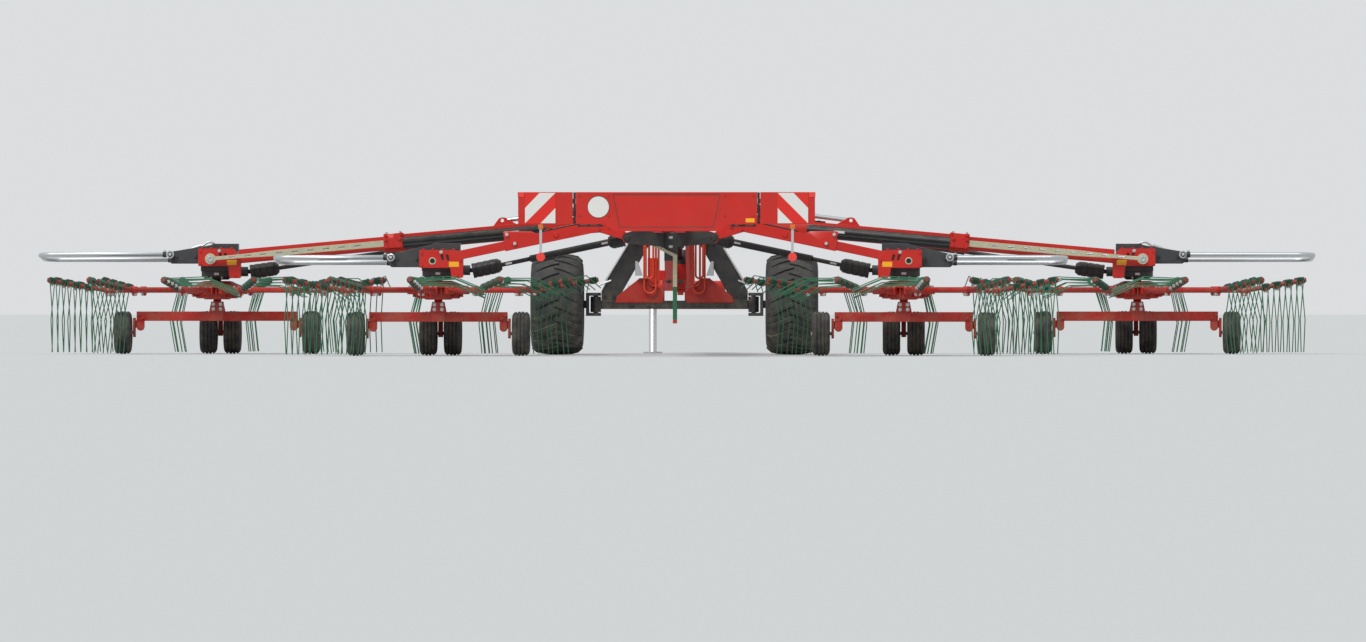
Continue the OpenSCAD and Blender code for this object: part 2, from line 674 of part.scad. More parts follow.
// Rotor gearbox with its input, the wedge-shaped carrier over it and the cross tube for the hoop.
gear_low = 708;
dish_top = 790;        // upper edge of the round lower part
wedge_half = 110;
wedge_in = 196;
module gearbox(front, s) {
    gear_top = pick(front, 862, 822);
    box_top = pick(front, 988, 955);
    rise_top = pick(front, 1052, 1045);
    input_z = pick(front, front_input_z, rear_input_z);
    hoop_z = pick(front, front_hoop_z, rear_hoop_z);
    color(dark) side(s) at_hub(front) {
        rotate_extrude() polygon([[0, gear_low], [105, gear_low], [gear_half, gear_low + 34],
                                  [gear_half, dish_top], [0, dish_top]]);
        block([-gear_half, -gear_half, dish_top - 1], [gear_half, gear_half, gear_top]);
        plate_xz(-wedge_half, wedge_half,
            [[-wedge_in, gear_top - 1], [hoop_hinge_x + 5, gear_top - 1], [hoop_hinge_x + 30, gear_top + 20],
             [hoop_hinge_x + 30, box_top - 30], [hoop_hinge_x + 10, box_top - 12], [60, rise_top - 14],
             [30, rise_top], [-wedge_in - 8, rise_top], [-wedge_in - 8, box_top - 60]]);
        translate([0, 0, input_z]) {
            bar_x(-joint_in + 55, -gear_half + 1, 46);
            bar_x(-joint_in + cross_r + cross_gap, -gear_half + 1, 20);
        }
        translate([hoop_hinge_x, 0, hoop_z]) rotate([-hoop_tilt, 0, 0])
            bar_y(-hoop_half - 45, hoop_half + 45, 24);
    }
    if (!front) color(black) side(s) translate([rear_pivot_x, rear_hub_y, rear_pivot_z])
        rotate([0, rear_slope, 0]) {
            bar_x(rear_shaft_start, rear_shaft_l + cross_r + 4, shaft_r - 6);
            bar_x(rear_shaft_start, rear_shaft_l - joint_gap, shaft_r);
            bar_x(rear_shaft_l - bell_l, rear_shaft_l - joint_gap, bell_r);
        }
}

// Guard hoop on its two hinge sleeves.
module hoop(front, s) {
    end = pick(front, front_hoop_x, rear_hoop_x) - hoop_hinge_x;
    r = hoop_d / 2;
    sleeve = 36;
    bend = end - r - hoop_corner;
    color(silver) side(s) at_hub(front)
        translate([hoop_hinge_x, 0, pick(front, front_hoop_z, rear_hoop_z)])
            rotate([-hoop_tilt, 0, 0]) for (m = [1, -1]) {
                translate([0, m * hoop_half, 0]) {
                    bar_x(26, bend, r);
                    difference() {
                        bar_y(-30, 30, sleeve);
                        bar_y(-31, 31, 24 + pin_gap);
                    }
                }
                translate([bend, m * (hoop_half - hoop_corner), 0])
                    rotate([0, 0, m > 0 ? 0 : -90])
                        rotate_extrude(angle = 90) translate([hoop_corner, 0]) circle(r);
                translate([bend + hoop_corner, 0, 0])
                    bar_y(-(hoop_half - hoop_corner), hoop_half - hoop_corner, r);
            }
}

// Rotor: hub, cover and the tine arms, lowered outside and ahead, lifted inside and behind.
hub_low = 520;
hub_top = 640;
cover_top = 696;
module rotor(front, s) {
    reach = pick(front, front_reach, rear_reach);
    count = pick(front, front_arms, rear_arms);
    color(red) side(s) at_hub(front) difference() {
        union() {
            translate([0, 0, hub_low]) cylinder(r = hub_r, h = hub_top - hub_low);
            rotate_extrude() polygon([[0, hub_top - 14], [cover_r, hub_top - 8], [cover_r, hub_top + 10],
                                      [hub_r - 20, hub_top + 32], [130, cover_top], [0, cover_top]]);
            for (i = [0 : count - 1]) {
                turn = (i + 0.5) * 360 / count;
                rotate(turn) tine_arm(reach, lifted(turn));
            }
        }
        translate([0, 0, hub_low - 1]) cylinder(r = axle_r + axle_gap, h = 300);
    }
}

// Lift of an arm by where it points: 0 is outward, 90 forward, 180 inward and 270 back.
function lifted(turn) = turn > 165 && turn < 300 ? tine_lift : 0;

// One arm, with its outer section turned about its own length.
outer_arm_r = 21;
root_half = 42;        // half width of the arm's bearing block
module tine_arm(reach, lift) {
    knee = reach - tine_section * cos(tine_section_rise) + 12;
    translate([0, 0, tine_arm_z]) {
        bar_x(hub_r - 20, knee + 4, tine_arm_d / 2);
        block([hub_r - 20, -root_half, -40], [hub_r + 85, root_half, 27]);
        bar_x(knee - 75, knee - 12, tine_arm_d / 2 + 8);
        translate([knee, 0, 0]) rotate([0, -tine_section_rise, 0]) {
            bar_x(0, tine_section, outer_arm_r);
            rotate([-lift, 0, 0]) for (k = [0 : tine_pairs - 1]) {
                along = tine_section - 22 - k * tine_pitch;
                tine(along);
                tine(along - tine_gap);
                bar_x(along - tine_gap - 6, along + 6, tine_coil_r);
                translate([along - tine_gap / 2, 0, -tine_coil_r - 10])
                    block([-14, -22, 0], [14, 22, tine_coil_r + 10]);
            }
        }
    }
}

// One tine wire, from its coil down to just above the ground, bent on the way.
module tine(along) {
    drop = tine_arm_z + along * sin(tine_section_rise) - tine_tip_z;
    upper = drop * tine_bend;
    start = tine_coil_r - tine_d / 2 - 1;
    translate([along, 0, 0]) rotate([0, tine_section_rise, 0]) {
        translate([0, -start, 0]) rotate([-tine_lean, 0, 0]) mirror([0, 0, 1])
            cylinder(r = tine_d / 2, h = upper / cos(tine_lean) + 2, $fn = 6);
        translate([0, -start - upper * tan(tine_lean), -upper]) rotate([tine_hook, 0, 0]) mirror([0, 0, 1])
            translate([0, 0, -2]) cylinder(r = tine_d / 2, h = (drop - upper) / cos(tine_hook) + 2, $fn = 6);
    }
}

module end_wheel(front, s, out) {
    track = pick(front, front_track, rear_track);
    color(black) side(s) at_hub(front) translate([out * track, 0, small_r])
        small_wheel(stub_r + pin_gap);
}

module twin_wheels(front, s) {
    offset = (twin_gap + small_wheel_w) / 2;
    color(black) side(s) at_hub(front) for (m = [-1, 1])
        translate([m * offset, twin_ahead, small_r]) small_wheel(stub_r + pin_gap);
}

// Hollow outer half of a front drive shaft, turning in its joint on the fold axis.
module shaft_guard(front, s) {
    slope = pick(front, front_shaft_slope, rear_slope);
    end = pick(front, front_guard_end, rear_guard_end);
    px = pick(front, front_pivot_x, rear_pivot_x);
    pz = pick(front, front_pivot_z, rear_pivot_z);
    color(black) side(s) translate([px, pick(front, front_hub_y, rear_hub_y), pz])
        rotate([0, slope, 0]) difference() {
            union() {
                bar_x(joint_gap + 20, end, guard_tube_r);
                bar_x(joint_gap, 150, bell_r);
            }
            bar_x(joint_gap + 50, end + 1, guard_bore_r);
        }
    color(black) side(s) translate([px, pick(front, front_hub_y, rear_hub_y), pz])
        rotate([0, slope, 0]) yoke();
}

// Cross pin of a shaft joint with the two ears that hold it.
module yoke() {
    bar_y(-26, 26, cross_r);
    for (y = [-26, 18]) block([0, y, -cross_r], [joint_gap + 1, y + 8, cross_r]);
}

bell_l = 180;          // from the outer joint back to the end of its bell
module front_shaft(s) {
    color(black) side(s) translate([front_pivot_x, front_hub_y, front_pivot_z])
        rotate([0, front_shaft_slope, 0]) {
            bar_x(front_shaft_start, front_shaft_l - joint_gap, shaft_r);
            bar_x(front_shaft_l - bell_l, front_shaft_l - joint_gap, bell_r);
            translate([front_shaft_l, 0, 0]) mirror([1, 0, 0]) yoke();
        }
}

// Lift cylinder of a front arm: barrel on the tower, rod to the lug.
barrel_l = 1080;
barrel_start = 58;     // clear of the tower plates as it swings
lift_eye_r = 34;
module lift_barrel(s) {
    color(black) side(s) translate([anchor_x, front_arm_y, anchor_z]) rotate([0, lift_angle, 0])
        difference() {
            union() {
                bar_y(-tower_gap + 3, tower_gap - 3, lift_eye_r);
                bar_x(20, barrel_start + 1, 20);
                bar_x(barrel_start, barrel_l, barrel_r);
            }
            bar_y(-tower_gap, tower_gap, lift_pin_r + pin_gap);
            bar_x(120, barrel_l + 1, rod_r + 0.5);
        }
}

module lift_rod(s) {
    color(silver) side(s) translate([anchor_x, front_arm_y, anchor_z]) rotate([0, lift_angle, 0])
        difference() {
            union() {
                bar_x(640, lift_l - 20, rod_r);
                translate([lift_l, 0, 0]) bar_y(-15, 15, lift_eye_r);
            }
            translate([lift_l, 0, 0]) bar_y(-16, 16, lift_pin_r + pin_gap);
        }
}

// Gearboxes and shafts along the frame, ending in the splined input.
input_z = 940;
input_y = 3610;
input_r = 17.45;
column_half = rail_in - 2;
module driveline() {
    line_low = rear_pivot_z;
    line_run = front_hub_y - 100 - (rear_hub_y + 100);
    line_angle = atan2(front_pivot_z - line_low, line_run);
    nose_run = input_y - 160 - (front_hub_y + 100);
    color(dark) {
        translate([0, front_hub_y, front_pivot_z]) {
            block([-130, -100, rail_z + rail_h - front_pivot_z], [130, 100, 80]);
            for (s = [1, -1]) side(s) bar_x(129, front_pivot_x - cross_r - cross_gap, 20);
        }
        translate([0, rear_hub_y, rear_pivot_z]) {
            block([-120, -100, -90], [120, 100, rail_z - rear_pivot_z]);
            for (s = [1, -1]) side(s) bar_x(119, rear_pivot_x - cross_r - cross_gap, 20);
        }
        block([-column_half, rear_hub_y - 180, 880], [column_half, rear_hub_y - 99, rail_z]);
        block([-70, input_y - 160, saddle_z], [70, input_y, input_z + 60]);
        translate([0, input_y - 1, input_z]) bar_y(0, 90, input_r);
    }
    color(black) {
        translate([0, rear_hub_y + 99, line_low]) rotate([line_angle, 0, 0])
            bar_y(0, line_run / cos(line_angle) + 2, 32);
        translate([0, front_hub_y + 99, front_pivot_z])
            rotate([atan2(input_z - front_pivot_z, nose_run), 0, 0])
                bar_y(0, norm([nose_run, input_z - front_pivot_z]) + 2, 32);
    }
}

// Hitch frame that turns on the nose, with the two lower-link pins.
hitch_pin_r = 18.3;
hitch_pin_l = 90;
hitch_half = 430;
module headstock() {
    arm = turn_y + nose_boss_r + 20;
    color(red) {
        difference() {
            union() {
                for (z = [nose_low - 35, nose_top + 5]) {
                    translate([0, turn_y, z]) cylinder(r = 62, h = 30);
                    block([-62, turn_y, z], [62, arm + 20, z + 30]);
                }
                block([-62, arm, nose_low - 35], [62, arm + 40, nose_top + 35]);
                block([-62, arm + 39, hitch_z - 40], [62, hitch_y, hitch_z + 40]);
            }
            translate([0, turn_y, nose_low - 36])
                cylinder(r = turn_pin_r + pin_gap, h = nose_top - nose_low + 72);
        }
        translate([0, hitch_y, hitch_z]) {
            bar_x(-hitch_half, hitch_half, 50);
            bar_x(-hitch_half - hitch_pin_l, hitch_half + hitch_pin_l, hitch_pin_r);
        }
    }
}

module jack_leg() {
    color(silver) translate([-jack_x, jack_y, 0]) {
        cylinder(r = 95, h = 14);
        translate([0, 0, 13]) cylinder(r = jack_r, h = 850);
    }
}

// Middle of the light panel with its stays to the rails.
panel_t = 30;
knuckle_h = 45;        // height of one hinge knuckle
field_half = 490;      // half width of the sunk field at its upper edge
module light_panel() {
    outline = [[-wing_hinge_x, wing_low], [-560, wing_low], [-490, panel_low], [490, panel_low],
               [560, wing_low], [wing_hinge_x, wing_low], [wing_hinge_x, panel_top],
               [-wing_hinge_x, panel_top]];
    color(red) {
        difference() {
            plate_xz(-panel_back, -panel_back + panel_t, outline);
            plate_xz(-panel_back - 1, -panel_back + 4,
                [[-field_half + 60, panel_low + 30], [field_half - 60, panel_low + 30],
                 [field_half, panel_top - 18], [-field_half, panel_top - 18]]);
        }
        for (s = [1, -1]) side(s) {
            block([rail_in, -panel_back + panel_t - 1, rail_z],
                  [rail_in + rail_w, -rail_back, rail_z + rail_h]);
            for (z = [wing_low + 30, panel_top - 150]) {
                translate([wing_hinge_x + 12, -panel_back + 15, z]) cylinder(r = 10, h = knuckle_h);
                block([wing_hinge_x - 1, -panel_back + 5, z],
                      [wing_hinge_x + 12, -panel_back + 25, z + knuckle_h]);
            }
        }
    }
}

board = 282;
strap_x = 1145;
reflector_z = 910;
module panel_wing(s) {
    gap = 28;
    color(red) side(s) translate([0, -panel_back, 0]) {
        block([wing_hinge_x + gap, 0, wing_low], [panel_half, panel_t, panel_top]);
        // Striped board, corner lamp, hanging lamp and the strap with its round reflector.
        block([panel_half - 60 - board, -4, panel_top - 4 - board], [panel_half - 60, 1, panel_top - 4]);
        block([panel_half - 55, -6, panel_top - 45], [panel_half + 4, panel_t + 4, panel_top]);
        block([strap_x - 22, 1, wing_low - 46], [strap_x + 22, panel_t - 2, wing_low + 1]);
        block([strap_x - 12, 12, reflector_z], [strap_x + 12, 17, wing_low]);
        translate([strap_x, 0, reflector_z]) bar_y(2, 13, 40);
        for (z = [wing_low + 30, panel_top - 150]) translate([0, 0, z + knuckle_h + pad_gap]) {
            translate([wing_hinge_x + 12, 15, 0]) cylinder(r = 10, h = knuckle_h);
            block([wing_hinge_x + 12, 5, 0], [wing_hinge_x + gap + 1, 25, knuckle_h]);
        }
    }
}

// Two galvanised wheel chocks on the axle's legs.
module wheel_chocks() {
    color(silver) for (s = [1, -1]) side(s) translate([0, axle_y - 60, 0])
        plate_xz(-100, 0, [[300, 745], [370, 745], [370, 880], [345, 880]]);
}

// Strap that hangs over the swath, with its arm to the column.
flap_low = 300;
flap_top = 930;
flap_x = 60;
flap_t = 8;
link_t = 24;
module swath_flap() {
    color("#c9b98c") translate([0, rear_hub_y - 180, 0]) {
        plate_xz(-link_t, 0, [[-190, flap_top + 130], [-190, flap_top + 100],
                              [flap_x, flap_top - 30], [flap_x, flap_top + 5]]);
        block([flap_x - 40, -link_t - flap_t, flap_low], [flap_x, -link_t, flap_top]);
    }
}

// Hoses that hang in loops behind the axle, clipped to the beam over it.
hose_r = 10;
module hydraulic_hoses() {
    top = rail_z - 20;
    // Columns: inner and outer run, lowest point, distance behind the beam.
    loops = [[150, 240, 650, 34], [175, 285, 580, 58], [200, 270, 720, 82]];
    color(hose_red) for (s = [1, -1], t = loops) side(s) translate([0, axle_y - 60 - t[3], 0]) {
        bend = (t[1] - t[0]) / 2;
        for (x = [t[0], t[1]]) {
            translate([x, 0, t[2] + bend]) cylinder(r = hose_r, h = top - t[2] - bend);
            block([x - 14, -14, top - 30], [x + 14, t[3], top - 5]);
        }
        translate([t[0] + bend, 0, t[2] + bend]) rotate([90, 0, 0]) rotate([0, 0, 180])
            rotate_extrude(angle = 180) translate([bend, 0]) circle(hose_r);
    }
}

// Lamp cable clipped under the panel's edge on each side.
module panel_cable() {
    color(black) for (s = [1, -1]) side(s) translate([0, 15 - panel_back, wing_low - 16]) {
        bar_x(575, wing_hinge_x - 12, 9);
        for (x = [600, 700, 790]) block([x, -11, -11], [x + 16, 11, 16]);
    }
}

main_frame();
axle_frame();
driveline();
light_panel();
wheel_chocks();
swath_flap();
hydraulic_hoses();
panel_cable();
headstock();
jack_leg();
panel_wing(-1);  // panel_wing_left
panel_wing(1);  // panel_wing_right
knuckle(-1);  // knuckle_left
knuckle(1);  // knuckle_right
transport_tyre(-1);  // transport_tyre_left
transport_tyre(1);  // transport_tyre_right
transport_rim(-1);  // transport_rim_left
transport_rim(1);  // transport_rim_right
front_arm(-1);  // front_arm_left
front_arm(1);  // front_arm_right
rear_arm(-1);  // rear_arm_left
rear_arm(1);  // rear_arm_right
carrier(true, -1);  // front_carrier_left
carrier(true, 1);  // front_carrier_right
carrier(false, -1);  // rear_carrier_left
carrier(false, 1);  // rear_carrier_right
gearbox(true, -1);  // front_gearbox_left
gearbox(true, 1);  // front_gearbox_right
gearbox(false, -1);  // rear_gearbox_left
gearbox(false, 1);  // rear_gearbox_right
rotor(true, -1);  // front_rotor_left
rotor(true, 1);  // front_rotor_right
rotor(false, -1);  // rear_rotor_left
rotor(false, 1);  // rear_rotor_right
hoop(true, -1);  // front_hoop_left
hoop(true, 1);  // front_hoop_right
hoop(false, -1);  // rear_hoop_left
hoop(false, 1);  // rear_hoop_right
end_wheel(true, -1, 1);  // front_outer_wheel_left
end_wheel(true, 1, 1);  // front_outer_wheel_right
end_wheel(true, -1, -1);  // front_inner_wheel_left
end_wheel(true, 1, -1);  // front_inner_wheel_right
twin_wheels(true, -1);  // front_twin_wheels_left
twin_wheels(true, 1);  // front_twin_wheels_right
end_wheel(false, -1, 1);  // rear_outer_wheel_left
end_wheel(false, 1, 1);  // rear_outer_wheel_right
end_wheel(false, -1, -1);  // rear_inner_wheel_left
end_wheel(false, 1, -1);  // rear_inner_wheel_right
twin_wheels(false, -1);  // rear_twin_wheels_left
twin_wheels(false, 1);  // rear_twin_wheels_right
shaft_guard(true, -1);  // front_shaft_guard_left
shaft_guard(true, 1);  // front_shaft_guard_right
front_shaft(-1);  // front_shaft_left
front_shaft(1);  // front_shaft_right
shaft_guard(false, -1);  // rear_shaft_guard_left
shaft_guard(false, 1);  // rear_shaft_guard_right
lift_barrel(-1);  // lift_barrel_left
lift_barrel(1);  // lift_barrel_right
lift_rod(-1);  // lift_rod_left
lift_rod(1);  // lift_rod_right
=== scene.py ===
"""Looks of a trailed four-rotor hay rake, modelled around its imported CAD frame.

X points to the right, Y forward along the direction of travel and Z up. Everything is in metres. The
right-hand half is modelled, and each of its pieces is mirrored to the left.
"""

from __future__ import annotations

import json
import logging
import math
from contextlib import contextmanager
from dataclasses import dataclass, field
from enum import Enum
from typing import Any, Iterable, Iterator, Sequence

import bpy
from mathutils import Matrix, Vector

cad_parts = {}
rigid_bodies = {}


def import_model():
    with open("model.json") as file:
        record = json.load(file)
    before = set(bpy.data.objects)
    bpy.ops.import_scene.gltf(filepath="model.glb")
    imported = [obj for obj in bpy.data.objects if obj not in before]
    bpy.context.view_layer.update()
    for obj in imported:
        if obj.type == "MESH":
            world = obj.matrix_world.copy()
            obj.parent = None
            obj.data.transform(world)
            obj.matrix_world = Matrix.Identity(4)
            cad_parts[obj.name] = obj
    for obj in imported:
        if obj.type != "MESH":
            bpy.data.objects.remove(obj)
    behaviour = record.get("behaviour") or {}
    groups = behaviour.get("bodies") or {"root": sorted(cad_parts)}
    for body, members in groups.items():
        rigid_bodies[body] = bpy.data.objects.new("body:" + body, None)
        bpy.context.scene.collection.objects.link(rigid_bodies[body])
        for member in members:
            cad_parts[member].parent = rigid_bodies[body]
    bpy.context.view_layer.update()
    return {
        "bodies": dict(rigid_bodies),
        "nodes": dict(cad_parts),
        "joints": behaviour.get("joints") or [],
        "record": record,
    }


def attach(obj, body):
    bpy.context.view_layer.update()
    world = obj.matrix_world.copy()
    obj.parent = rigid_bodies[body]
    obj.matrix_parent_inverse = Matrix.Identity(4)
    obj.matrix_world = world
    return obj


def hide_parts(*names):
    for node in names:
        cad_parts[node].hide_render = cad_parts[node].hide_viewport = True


Point = tuple[float, float, float]
Flat = tuple[float, float]
Thing = bpy.types.Object
Tree = bpy.types.NodeTree
Socket = bpy.types.NodeSocket
LOG = logging.getLogger("rake")

# The colour mix node's sockets by number, because several of them share a name.
FACTOR, COLOUR_A, COLOUR_B, MIXED = 0, 6, 7, 2


def mm(value: float) -> float:
    """Turns millimetres into metres."""
    return value / 1000.0


def linear(code: str) -> tuple[float, float, float, float]:
    """Turns an sRGB hex colour into Blender's linear one.

    Args:
        code: six hex digits with a leading #.

    Returns:
        Linear red, green, blue and an alpha of 1.
    """
    parts = [int(code[i:i + 2], 16) / 255.0 for i in (1, 3, 5)]
    return tuple(p / 12.92 if p <= 0.04045 else ((p + 0.055) / 1.055) ** 2.4 for p in parts) + (1.0,)


def add_node(tree: Tree, kind: str, inputs: dict[Any, Any] | None = None, **settings: Any) -> bpy.types.Node:
    """Adds one shader node with its settings and its links.

    Args:
        tree: the material's or world's node tree.
        kind: Blender's name of the node type.
        inputs: a value or an output socket for each input, by its name or number.
        settings: the node's own properties.

    Returns:
        The new node.
    """
    node = tree.nodes.new(kind)
    for name, value in settings.items():
        setattr(node, name, value)
    for key, value in (inputs or {}).items():
        if isinstance(value, Socket):
            tree.links.new(value, node.inputs[key])
        else:
            node.inputs[key].default_value = value
    return node


@dataclass(frozen=True)
class Finish:
    """A surface: what it is made of, how it was made and what the field has left on it.

    The dust is dried soil and chaff. It lies on faces that look up and in patches, and it fades with height.
    """

    name: str
    slot: str
    colour: str
    roughness: float
    metallic: float = 0.0
    ior: float = 1.5
    coat: float = 0.0
    shade: float = 0.12
    patch_mm: float = 260.0
    dust: float = 0.25
    dust_colour: str = "#8c7f62"
    chips: float = 0.0
    chip_colour: str = "#5d5852"
    grain_mm: float = 6.0
    grain: float = 0.08
    spangle: float = 0.0
    # Zinc crystals are 5 to 15 mm across, drawn a little larger so that they show.
    crystal_mm: float = 18.0
    low_dirt: float = 0.35

    def material(self) -> bpy.types.Material:
        """Makes the material, or finds it if it was made before.

        Returns:
            The Blender material of this finish.
        """
        found = bpy.data.materials.get(self.name)
        if found:
            return found
        made = bpy.data.materials.new(self.name)
        made.use_nodes = True
        tree = made.node_tree
        tree.nodes.clear()
        place = add_node(tree, "ShaderNodeTexCoord")
        here = place.outputs["Object"]
        bare = self._chipped(tree, here, self._base(tree, here))
        colour, dusty = self._dusted(tree, place, bare)
        rough = add_node(tree, "ShaderNodeMapRange", {"Value": dusty, "To Min": self.roughness,
                                                      "To Max": min(0.95, self.roughness + 0.35)})
        fine = add_node(tree, "ShaderNodeTexNoise",
                        {"Vector": here, "Scale": 1000.0 / self.grain_mm, "Detail": 3.0})
        bump = add_node(tree, "ShaderNodeBump",
                        {"Height": fine.outputs["Fac"], "Strength": self.grain, "Distance": mm(2)})
        shader = add_node(tree, "ShaderNodeBsdfPrincipled", {
            "Base Color": colour, "Metallic": self.metallic, "Roughness": rough.outputs["Result"],
            "Normal": bump.outputs["Normal"], "Coat Weight": self.coat, "Coat Roughness": 0.12})
        if self.metallic < 0.5:
            shader.inputs["IOR"].default_value = self.ior
        add_node(tree, "ShaderNodeOutputMaterial", {"Surface": shader.outputs["BSDF"]})
        made.diffuse_color = linear(self.colour)
        return made

    def _base(self, tree: Tree, here: Socket) -> Socket:
        """Gives the plain colour its slow change from place to place, and a spangle to zinc.

        Args:
            tree: the material's node tree.
            here: each point's place on the object.

        Returns:
            The colour.
        """
        patch = add_node(tree, "ShaderNodeTexNoise",
                         {"Vector": here, "Scale": 1000.0 / self.patch_mm, "Detail": 4.0})
        light = linear(self.colour)
        dark = tuple(c * (1.0 - self.shade * 2.0) for c in light[:3]) + (1.0,)
        mix = add_node(tree, "ShaderNodeMix", {FACTOR: patch.outputs["Fac"], COLOUR_A: light, COLOUR_B: dark},
                       data_type="RGBA")
        if not self.spangle:
            return mix.outputs[MIXED]
        crystal = add_node(tree, "ShaderNodeTexVoronoi", {"Vector": here, "Scale": 1000.0 / self.crystal_mm})
        tone = add_node(tree, "ShaderNodeMapRange", {
            "Value": crystal.outputs["Color"], "To Min": 1.0 - self.spangle,
            "To Max": 1.0 + self.spangle * 0.3})
        return add_node(tree, "ShaderNodeMix",
                        {FACTOR: 1.0, COLOUR_A: mix.outputs[MIXED], COLOUR_B: tone.outputs["Result"]},
                        data_type="RGBA", blend_type="MULTIPLY").outputs[MIXED]

    def _chipped(self, tree: Tree, here: Socket, base: Socket) -> Socket:
        """Lets the ground show through in small chips and rubs.

        Args:
            tree: the material's node tree.
            here: each point's place on the object.
            base: the colour before.

        Returns:
            The colour with its chips.
        """
        if not self.chips:
            return base
        spots = add_node(tree, "ShaderNodeTexNoise",
                         {"Vector": here, "Scale": 55.0, "Detail": 5.0, "Roughness": 0.65})
        mask = add_node(tree, "ShaderNodeMapRange", {
            "Value": spots.outputs["Fac"], "From Min": 0.72 - self.chips * 0.15,
            "From Max": 0.75 - self.chips * 0.12})
        return add_node(tree, "ShaderNodeMix",
                        {FACTOR: mask.outputs["Result"], COLOUR_A: base, COLOUR_B: linear(self.chip_colour)},
                        data_type="RGBA").outputs[MIXED]

    def _dusted(self, tree: Tree, place: bpy.types.Node, base: Socket) -> tuple[Socket, Socket]:
        """Lays dust on the colour.

        Args:
            tree: the material's node tree.
            place: the node that gives each point's place and the way it faces.
            base: the colour before.

        Returns:
            The dusted colour, and how dusty each point is from 0 to 1.
        """
        here = place.outputs["Object"]
        cloud = add_node(tree, "ShaderNodeTexNoise",
                         {"Vector": here, "Scale": 9.0, "Detail": 6.0, "Roughness": 0.62})
        patchy = add_node(tree, "ShaderNodeMapRange",
                          {"Value": cloud.outputs["Fac"], "From Min": 0.38, "From Max": 0.68})
        facing = add_node(tree, "ShaderNodeSeparateXYZ", {0: place.outputs["Normal"]})
        upward = add_node(tree, "ShaderNodeMapRange", {
            "Value": facing.outputs["Z"], "From Min": 0.2, "From Max": 0.95, "To Min": 0.25, "To Max": 1.0})
        height = add_node(tree, "ShaderNodeSeparateXYZ", {0: here})
        low = add_node(tree, "ShaderNodeMapRange", {
            "Value": height.outputs["Z"], "From Min": mm(150), "From Max": mm(750), "To Min": self.low_dirt,
            "To Max": 0.0})
        lying = add_node(tree, "ShaderNodeMath", {0: upward.outputs["Result"], 1: self.dust},
                         operation="MULTIPLY")
        total = add_node(tree, "ShaderNodeMath", {0: lying.outputs[0], 1: low.outputs["Result"]},
                         operation="ADD")
        share = add_node(tree, "ShaderNodeMath", {0: total.outputs[0], 1: patchy.outputs["Result"]},
                         operation="MULTIPLY", use_clamp=True)
        mixed = add_node(tree, "ShaderNodeMix",
                         {FACTOR: share.outputs[0], COLOUR_A: base, COLOUR_B: linear(self.dust_colour)},
                         data_type="RGBA")
        return mixed.outputs[MIXED], share.outputs[0]


